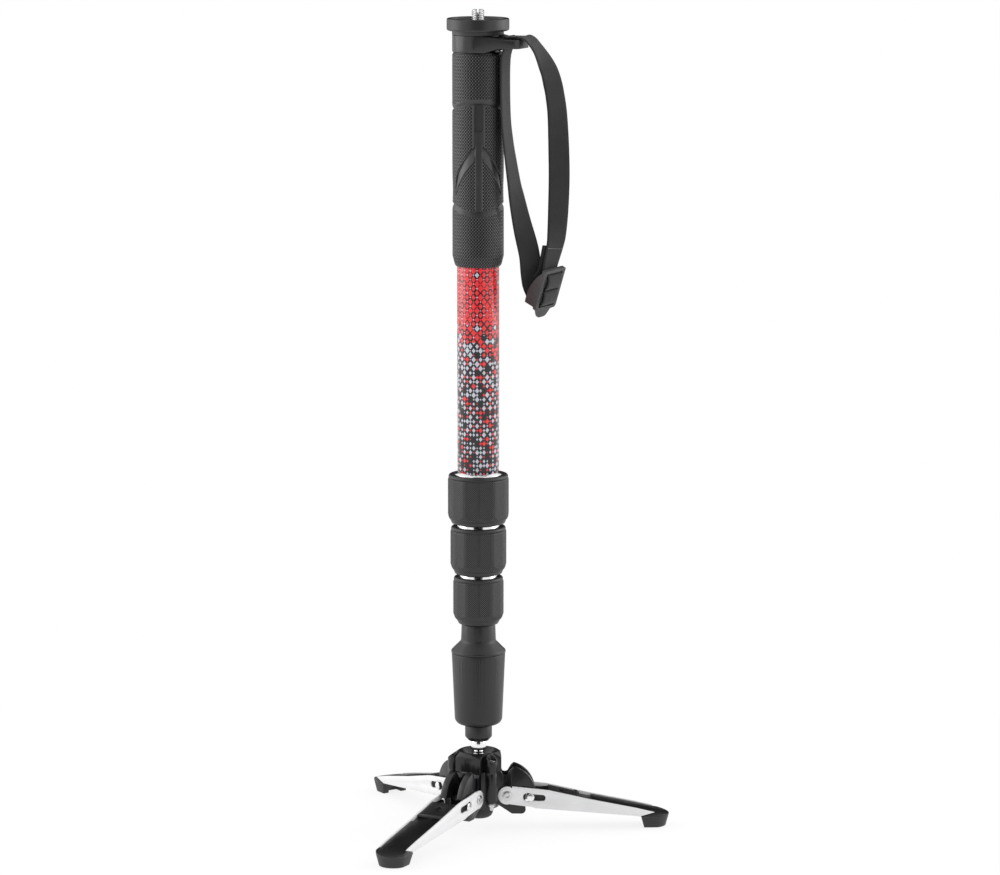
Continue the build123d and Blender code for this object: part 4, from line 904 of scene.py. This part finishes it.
# The tape's way over a middle bar: shares of its least distances beside and above the bar
MIDDLE_BAR_WIDTH, MIDDLE_BAR_PLACE = 7.0, 6.4
TAPE_GAP = 0.4
BESIDE_BAR = MIDDLE_BAR_WIDTH / 2 + TAPE_GAP + WEBBING_THICKNESS / 2
ABOVE_BAR = BUCKLE_THICKNESS + TAPE_GAP + WEBBING_THICKNESS / 2
BAR_WRAP = [
    (-1.08, -0.38), (-1.10, 0.24), (-1.00, 0.89), (0.00, 1.14), (1.00, 0.89), (1.25, 0.24), (1.32, -0.48),
]

# Cross section of the tape and the steps between its stations
TAPE_STEPS, TAPE_RIBS, TAPE_EDGE = 5, 14, 0.45

# Sewn end: how far it lies aside and behind the strand, less of it near the buckle that hides its end
TAIL_TOP = (0.950, -0.095, 0.813)
TAIL_ASIDE, TAIL_BEHIND = 2.2, 1.25 * WEBBING_THICKNESS
TAIL_LOW_SHARE, TAIL_MIDDLE_SHARE = 0.7, 0.85
TAIL_END_ASIDE, TAIL_END_DROP, TAIL_END_DEPTH = 2.5, 9.0, 4.0
STITCH_COUNT, STITCH_SPACING, STITCH_DROP = 7, 1.95, 1.2
STITCH_LENGTH, STITCH_THREAD, STITCH_RISE = 1.5, 0.7, 0.1


def loop_point(shares):
    x, y, drop = shares
    return Vector((LOOP_REACH * x, LOOP_REACH * y, LOOP_TOP - LOOP_DROP * drop))


def buckle_axes():
    """Up, and out of the face, as seen on the buckle."""
    down = (BUCKLE_DOWN - BUCKLE_ACROSS * BUCKLE_DOWN.dot(BUCKLE_ACROSS)).normalized()
    return -down, BUCKLE_ACROSS.cross(-down)


def at_buckle(across, up, out):
    up_axis, out_axis = buckle_axes()
    return loop_point(BUCKLE_PLACE) + BUCKLE_ACROSS * across + up_axis * up + out_axis * out


def over_bar(side):
    """Places of the tape round one middle bar, from behind the inner window outwards."""
    return [
        (at_buckle(0, side * (MIDDLE_BAR_PLACE + BESIDE_BAR * along), ABOVE_BAR * out), BUCKLE_ACROSS)
        for along, out in BAR_WRAP
    ]


def tape_stations():
    """Centre and across direction at each place of the loop, from one free end to the other."""
    stations = over_bar(-1)
    stations.append((at_buckle(0, -BESIDE_BAR * 2 - MIDDLE_BAR_PLACE / 2, -LEAD_OUT), BUCKLE_ACROSS))
    stations += [(loop_point(shares), Vector(across).normalized()) for shares, across in TAPE_ROUTE]
    stations.append((at_buckle(0, BUCKLE_LEAD, -LEAD_DEPTH), BUCKLE_ACROSS))
    return stations + over_bar(1)[-2::-1]


def smooth_stations(stations, steps):
    """More stations between the given ones, on a Catmull-Rom line."""
    result = []
    last = len(stations) - 1
    for i in range(last):
        around = [stations[min(max(k, 0), last)] for k in (i - 1, i, i + 1, i + 2)]
        for step in range(steps):
            t = step / steps
            weights = (
                (-t + 2 * t * t - t ** 3) / 2,
                (2 - 5 * t * t + 3 * t ** 3) / 2,
                (t + 4 * t * t - 3 * t ** 3) / 2,
                (t ** 3 - t * t) / 2,
            )
            centre = sum((w * s[0] for w, s in zip(weights, around)), Vector())
            across = sum((w * s[1] for w, s in zip(weights, around)), Vector())
            result.append((centre, across.normalized()))
    return result + [stations[-1]]


def tape(name, stations):
    """Webbing along the stations, with rounded edges and a map in metres."""
    line = smooth_stations(stations, TAPE_STEPS)
    last = len(line) - 1
    half, thin = WEBBING_WIDTH / 2, WEBBING_THICKNESS / 2
    ring = [(-half + WEBBING_WIDTH * k / TAPE_RIBS, thin) for k in range(TAPE_RIBS + 1)]
    ring = [(s, w * (TAPE_EDGE if k in (0, TAPE_RIBS) else 1.0)) for k, (s, w) in enumerate(ring)]
    ring += [(s, -w) for s, w in reversed(ring)]
    points, lengths, run = [], [], 0.0
    for i, (centre, across) in enumerate(line):
        along = (line[min(i + 1, last)][0] - line[max(i - 1, 0)][0]).normalized()
        across = (across - along * across.dot(along)).normalized()
        out = along.cross(across)
        if i:
            run += (centre - line[i - 1][0]).length
        lengths.append(run)
        points += [centre + across * s + out * w for s, w in ring]
    count = len(ring)
    faces = around_faces(last + 1, count, closed=False)
    faces += [tuple(reversed(range(count))), tuple(range(last * count, (last + 1) * count))]
    piece = mesh_object(name, points, faces)
    layer = piece.data.uv_layers.new(name="tape")
    for loop in piece.data.loops:
        row, place = divmod(loop.vertex_index, count)
        layer.data[loop.index].uv = ((ring[place][0] + half) * MM, lengths[row] * MM)
    work = bmesh.new()
    work.from_mesh(piece.data)
    bmesh.ops.recalc_face_normals(work, faces=work.faces)
    work.to_mesh(piece.data)
    work.free()
    shade(piece, 50.0)
    return piece


def frame_at(across, along):
    """Square axes for something laid on the tape: across it, along it, and out of its face."""
    across = (across - along * across.dot(along)).normalized()
    return across, along, along.cross(across)


def sewn_tail():
    """The doubled end of the tape behind its outer strand, sewn just above the buckle."""
    top, across = loop_point(TAIL_TOP), Vector(TAPE_ROUTE[-1][1]).normalized()
    low = at_buckle(0, BUCKLE_LEAD - TAIL_ASIDE, -LEAD_DEPTH)
    across, _, out = frame_at(across, (top - low).normalized())
    behind = out if out.y > 0 else -out
    shift = behind * TAIL_BEHIND - across * TAIL_ASIDE
    hidden = at_buckle(-TAIL_END_ASIDE, BUCKLE_LEAD - TAIL_END_DROP, -LEAD_DEPTH - TAIL_END_DEPTH)
    middle = (low + top) / 2 + shift * TAIL_MIDDLE_SHARE
    places = [hidden, low + shift * TAIL_LOW_SHARE, middle, top + shift]
    piece = tape("sewn_tail", [(place, across) for place in places])
    finish_piece(piece, "strap", "webbing")


def stitch_tree():
    """A row of short raised stitches along X, each a flattened bead."""
    tree, given, sink = start_group(
        "Stitches", "GeometryNodeTree",
        [("Count", INTEGER, 7), ("Spacing", FLOAT, 1.9), ("Length", FLOAT, 1.3), ("Thread", FLOAT, 0.45),
         ("Finish", FINISH, None)],
        [("Geometry", GEOMETRY)],
    )
    line = add_node(tree, "GeometryNodeMeshLine", {
        "Count": given["Count"], "Offset": vector_of(tree, given["Spacing"] * MM, 0.0, 0.0)})
    bead = add_node(tree, "GeometryNodeMeshUVSphere", {"Segments": 12, "Rings": 8, "Radius": 1.0})
    half_length, half_thread = given["Length"] * (MM / 2), given["Thread"] * (MM / 2)
    shaped = add_node(tree, "GeometryNodeTransform", {
        "Geometry": bead.outputs["Mesh"], "Scale": vector_of(tree, half_length, half_thread, half_thread)})
    copies = add_node(tree, "GeometryNodeInstanceOnPoints",
                      {"Points": line.outputs["Mesh"], "Instance": shaped.outputs[0]})
    finish_tree(tree, copies.outputs[0], given["Finish"], sink)
    return tree


def tail_stitches():
    """The row of stitches that holds the doubled end, on the outer face of the strand."""
    piece = run_tree("tail_stitches", stitch_tree(), {
        "Count": STITCH_COUNT, "Spacing": STITCH_SPACING, "Length": STITCH_LENGTH, "Thread": STITCH_THREAD,
        "Finish": THREAD})
    above, below = loop_point(TAPE_ROUTE[-2][0]), loop_point(TAPE_ROUTE[-1][0])
    across, along, out = frame_at(Vector(TAPE_ROUTE[-1][1]), (above - below).normalized())
    front = out if out.y < 0 else -out
    start = loop_point(TAIL_TOP) + front * (WEBBING_THICKNESS / 2 + STITCH_RISE) - along * STITCH_DROP
    start -= across * (STITCH_SPACING * (STITCH_COUNT - 1) / 2)
    for vertex in piece.data.vertices:
        x, y, z = vertex.co / MM
        vertex.co = (start + across * x + along * y + front * z) * MM
    shade(piece, 60.0)
    finish_piece(piece, "strap", "webbing", material=THREAD)


def strap():
    piece = tape("wrist_tape", tape_stations())
    finish_piece(piece, "strap", "webbing", ["strap_webbing"])
    sewn_tail()
    tail_stitches()


# Rounded edges of the CAD nodes that show
EDGE_WIDTHS = {
    "hub_body": 0.5, "hub_cap": 0.35, "strap_collar": 0.6, "strap_buckle": 0.6, "top_plate": 0.3,
    "pan_housing": 0.5, "pan_cap": 0.5, "nose_bush": 0.3, "base_foot": 0.4, "ball_stem": 0.15,
    "hub_screws": 0.15, "hub_nuts": 0.15, "leg_pivot_pins": 0.2, "top_pad": 0.1, "head_core": 0.1,
    "tube_1": 0.1,
    **{f"lock_{number}_sleeve": 0.1 for number in LOCK_RINGS},
    **{f"lock_{number}_nut": 0.3 for number in LOCK_RINGS},
}
LEG_EDGE_WIDTHS = {"side_plates": 0.12, "cover": 0.35, "foot": 0.8, "slider": 0.3, "studs": 0.7}


def rounded_nodes():
    for node, width in EDGE_WIDTHS.items():
        rounded_copy(node, width)
    for number in (1, 2, 3):
        for part, width in LEG_EDGE_WIDTHS.items():
            rounded_copy(f"leg_{number}_{part}", width)


def finish_cad_nodes():
    """Gives every carried-over CAD node the finish of its slot."""
    for name, cad_node in frame["nodes"].items():
        for material_slot in cad_node.material_slots:
            material_slot.material = FINISHES[SLOT_OF[name]]


knurled_grip()
lock_rings()
camera_thread()
strap()
rounded_nodes()
finish_cad_nodes()


# Studio
CAMERA_TURN = math.radians(1.9)
CAMERA_ASIDE, CAMERA_BACK, CAMERA_HEIGHT, AIM_HEIGHT = 15.6, 3151.0, 803.0, 287.0
LENS, SENSOR_WIDTH, SIGHT = 159.84, 36.0, 50.0
LIGHT_AIM_HEIGHT = 280.0
WORLD_FILL = 0.85

# Soft boxes: place as the camera sees it, width and height in metres, and brightness
LIGHT_BOXES = {
    "Left box": ((-1500.0, -100.0, 600.0), 1.3, 1.7, 1.9),
    "Right box": ((1500.0, -250.0, 600.0), 1.1, 1.7, 2.0),
}

# Flags: from and to which turn in degrees from the camera, distance, and lowest and highest point
DARK_FLAGS = {
    "front_flag": (-26.0, 25.0, 1700.0, -300.0, 2600.0),
    "top_flag": (-11.0, 11.0, 1100.0, 1500.0, 3600.0),
    "back_flag": (154.0, 206.0, 1900.0, -300.0, 3000.0),
}
FLAG_STEPS = 12
FLAG_BLACK = (0.01, 0.01, 0.01)

# Floor, just under the feet: it glows as the background does, less so near the object to keep its shadow
FLOOR_REACH, FLOOR_DROP = 9000.0, 0.4
GLOW_NEAR, GLOW_FROM, GLOW_FULL = 0.85, 0.25, 0.55
WHITE = (1.0, 1.0, 1.0, 1.0)


def from_view(aside, back, height):
    """A point given as seen by the camera: to its right, in front of the axis, and up."""
    c, s = math.cos(CAMERA_TURN), math.sin(CAMERA_TURN)
    return Vector((aside * c - back * s, -aside * s - back * c, height)) * MM


def face(looker, aim):
    """Turns a camera or a lamp towards a point."""
    looker.rotation_euler = (aim - looker.location).to_track_quat("-Z", "Y").to_euler()


def light_box(name, place, width, height, radiance):
    """A soft box that faces the object, with the same brightness over its face."""
    lamp = bpy.data.lights.new(name, "AREA")
    lamp.shape = "RECTANGLE"
    lamp.size, lamp.size_y = width, height
    lamp.energy = radiance * math.pi * width * height
    lamp_object = link(bpy.data.objects.new(name, lamp))
    lamp_object.location = from_view(*place)
    face(lamp_object, Vector((0, 0, LIGHT_AIM_HEIGHT * MM)))


def dark_flag(name, start, finish, reach, low, high):
    """A curved black panel round the object that only reflections see, as flags do in a studio."""
    points = []
    for i in range(FLAG_STEPS + 1):
        turn = math.radians(start + (finish - start) * i / FLAG_STEPS)
        for z in (low, high):
            points.append(from_view(reach * math.sin(turn), reach * math.cos(turn), z) / MM)
    faces = [(2 * i, 2 * i + 2, 2 * i + 3, 2 * i + 1) for i in range(FLAG_STEPS)]
    flag = mesh_object(name, points, faces)
    material, _, _ = start_material(name, FLAG_BLACK, 0.9, specular=0.0)
    flag.data.materials.append(material)
    flag.visible_camera = False
    flag.visible_diffuse = False
    flag.visible_shadow = False


def place_camera():
    camera = bpy.data.cameras.new("Camera")
    camera.lens = LENS
    camera.sensor_width = SENSOR_WIDTH
    camera.sensor_fit = "HORIZONTAL"
    camera.clip_end = SIGHT
    camera_object = link(bpy.data.objects.new("Camera", camera))
    camera_object.location = from_view(CAMERA_ASIDE, CAMERA_BACK, CAMERA_HEIGHT)
    face(camera_object, from_view(CAMERA_ASIDE, 0.0, AIM_HEIGHT))
    bpy.context.scene.camera = camera_object


def reached_by(tree, *rays):
    """1 for rays of these kinds, 0 for others."""
    path = add_node(tree, "ShaderNodeLightPath")
    reached, *others = [Field(tree, path.outputs[ray]) for ray in rays]
    for other in others:
        reached = reached.most(other)
    return reached


def light_world():
    """White where the camera, metal and glass see it, and a plain fill for everything else."""
    world = bpy.data.worlds.new("Studio")
    bpy.context.scene.world = world
    world.use_nodes = True
    tree = world.node_tree
    tree.nodes.clear()
    seen = reached_by(tree, "Is Camera Ray", "Is Glossy Ray", "Is Transmission Ray")
    shown = add_node(tree, "ShaderNodeBackground", {"Color": WHITE, "Strength": 1.0})
    fill = add_node(tree, "ShaderNodeBackground", {"Color": WHITE, "Strength": WORLD_FILL})
    mix = add_node(tree, "ShaderNodeMixShader", {0: seen, 1: fill.outputs[0], 2: shown.outputs[0]})
    output = add_node(tree, "ShaderNodeOutputWorld")
    feed(tree, mix.outputs[0], output.inputs[0])


def lay_floor():
    corners = ((-1, -1), (1, -1), (1, 1), (-1, 1))
    points = [(FLOOR_REACH * x, FLOOR_REACH * y, -FLOOR_DROP) for x, y in corners]
    floor = mesh_object("floor", points, [(0, 1, 2, 3)])
    material = bpy.data.materials.new("Floor")
    material.use_nodes = True
    tree = material.node_tree
    tree.nodes.clear()
    seen = reached_by(tree, "Is Camera Ray", "Is Glossy Ray")
    distance = add_node(tree, "ShaderNodeVectorMath", {0: object_place(tree)}, operation="LENGTH")
    white = Field(tree, distance.outputs["Value"]).ramp(GLOW_FROM, GLOW_FULL).from_to(GLOW_NEAR, 1.0)
    matt = add_node(tree, "ShaderNodeBsdfDiffuse", {"Color": WHITE})
    glow = add_node(tree, "ShaderNodeEmission", {"Color": WHITE, "Strength": 1.0})
    mix = add_node(tree, "ShaderNodeMixShader", {0: seen * white, 1: matt.outputs[0], 2: glow.outputs[0]})
    output = add_node(tree, "ShaderNodeOutputMaterial")
    feed(tree, mix.outputs[0], output.inputs[0])
    floor.data.materials.append(material)


def studio():
    bpy.context.scene.view_settings.view_transform = "Standard"
    place_camera()
    light_world()
    for name, (place, width, height, radiance) in LIGHT_BOXES.items():
        light_box(name, place, width, height, radiance)
    for name, (start, finish, reach, low, high) in DARK_FLAGS.items():
        dark_flag(name, start, finish, reach, low, high)
    lay_floor()


studio()
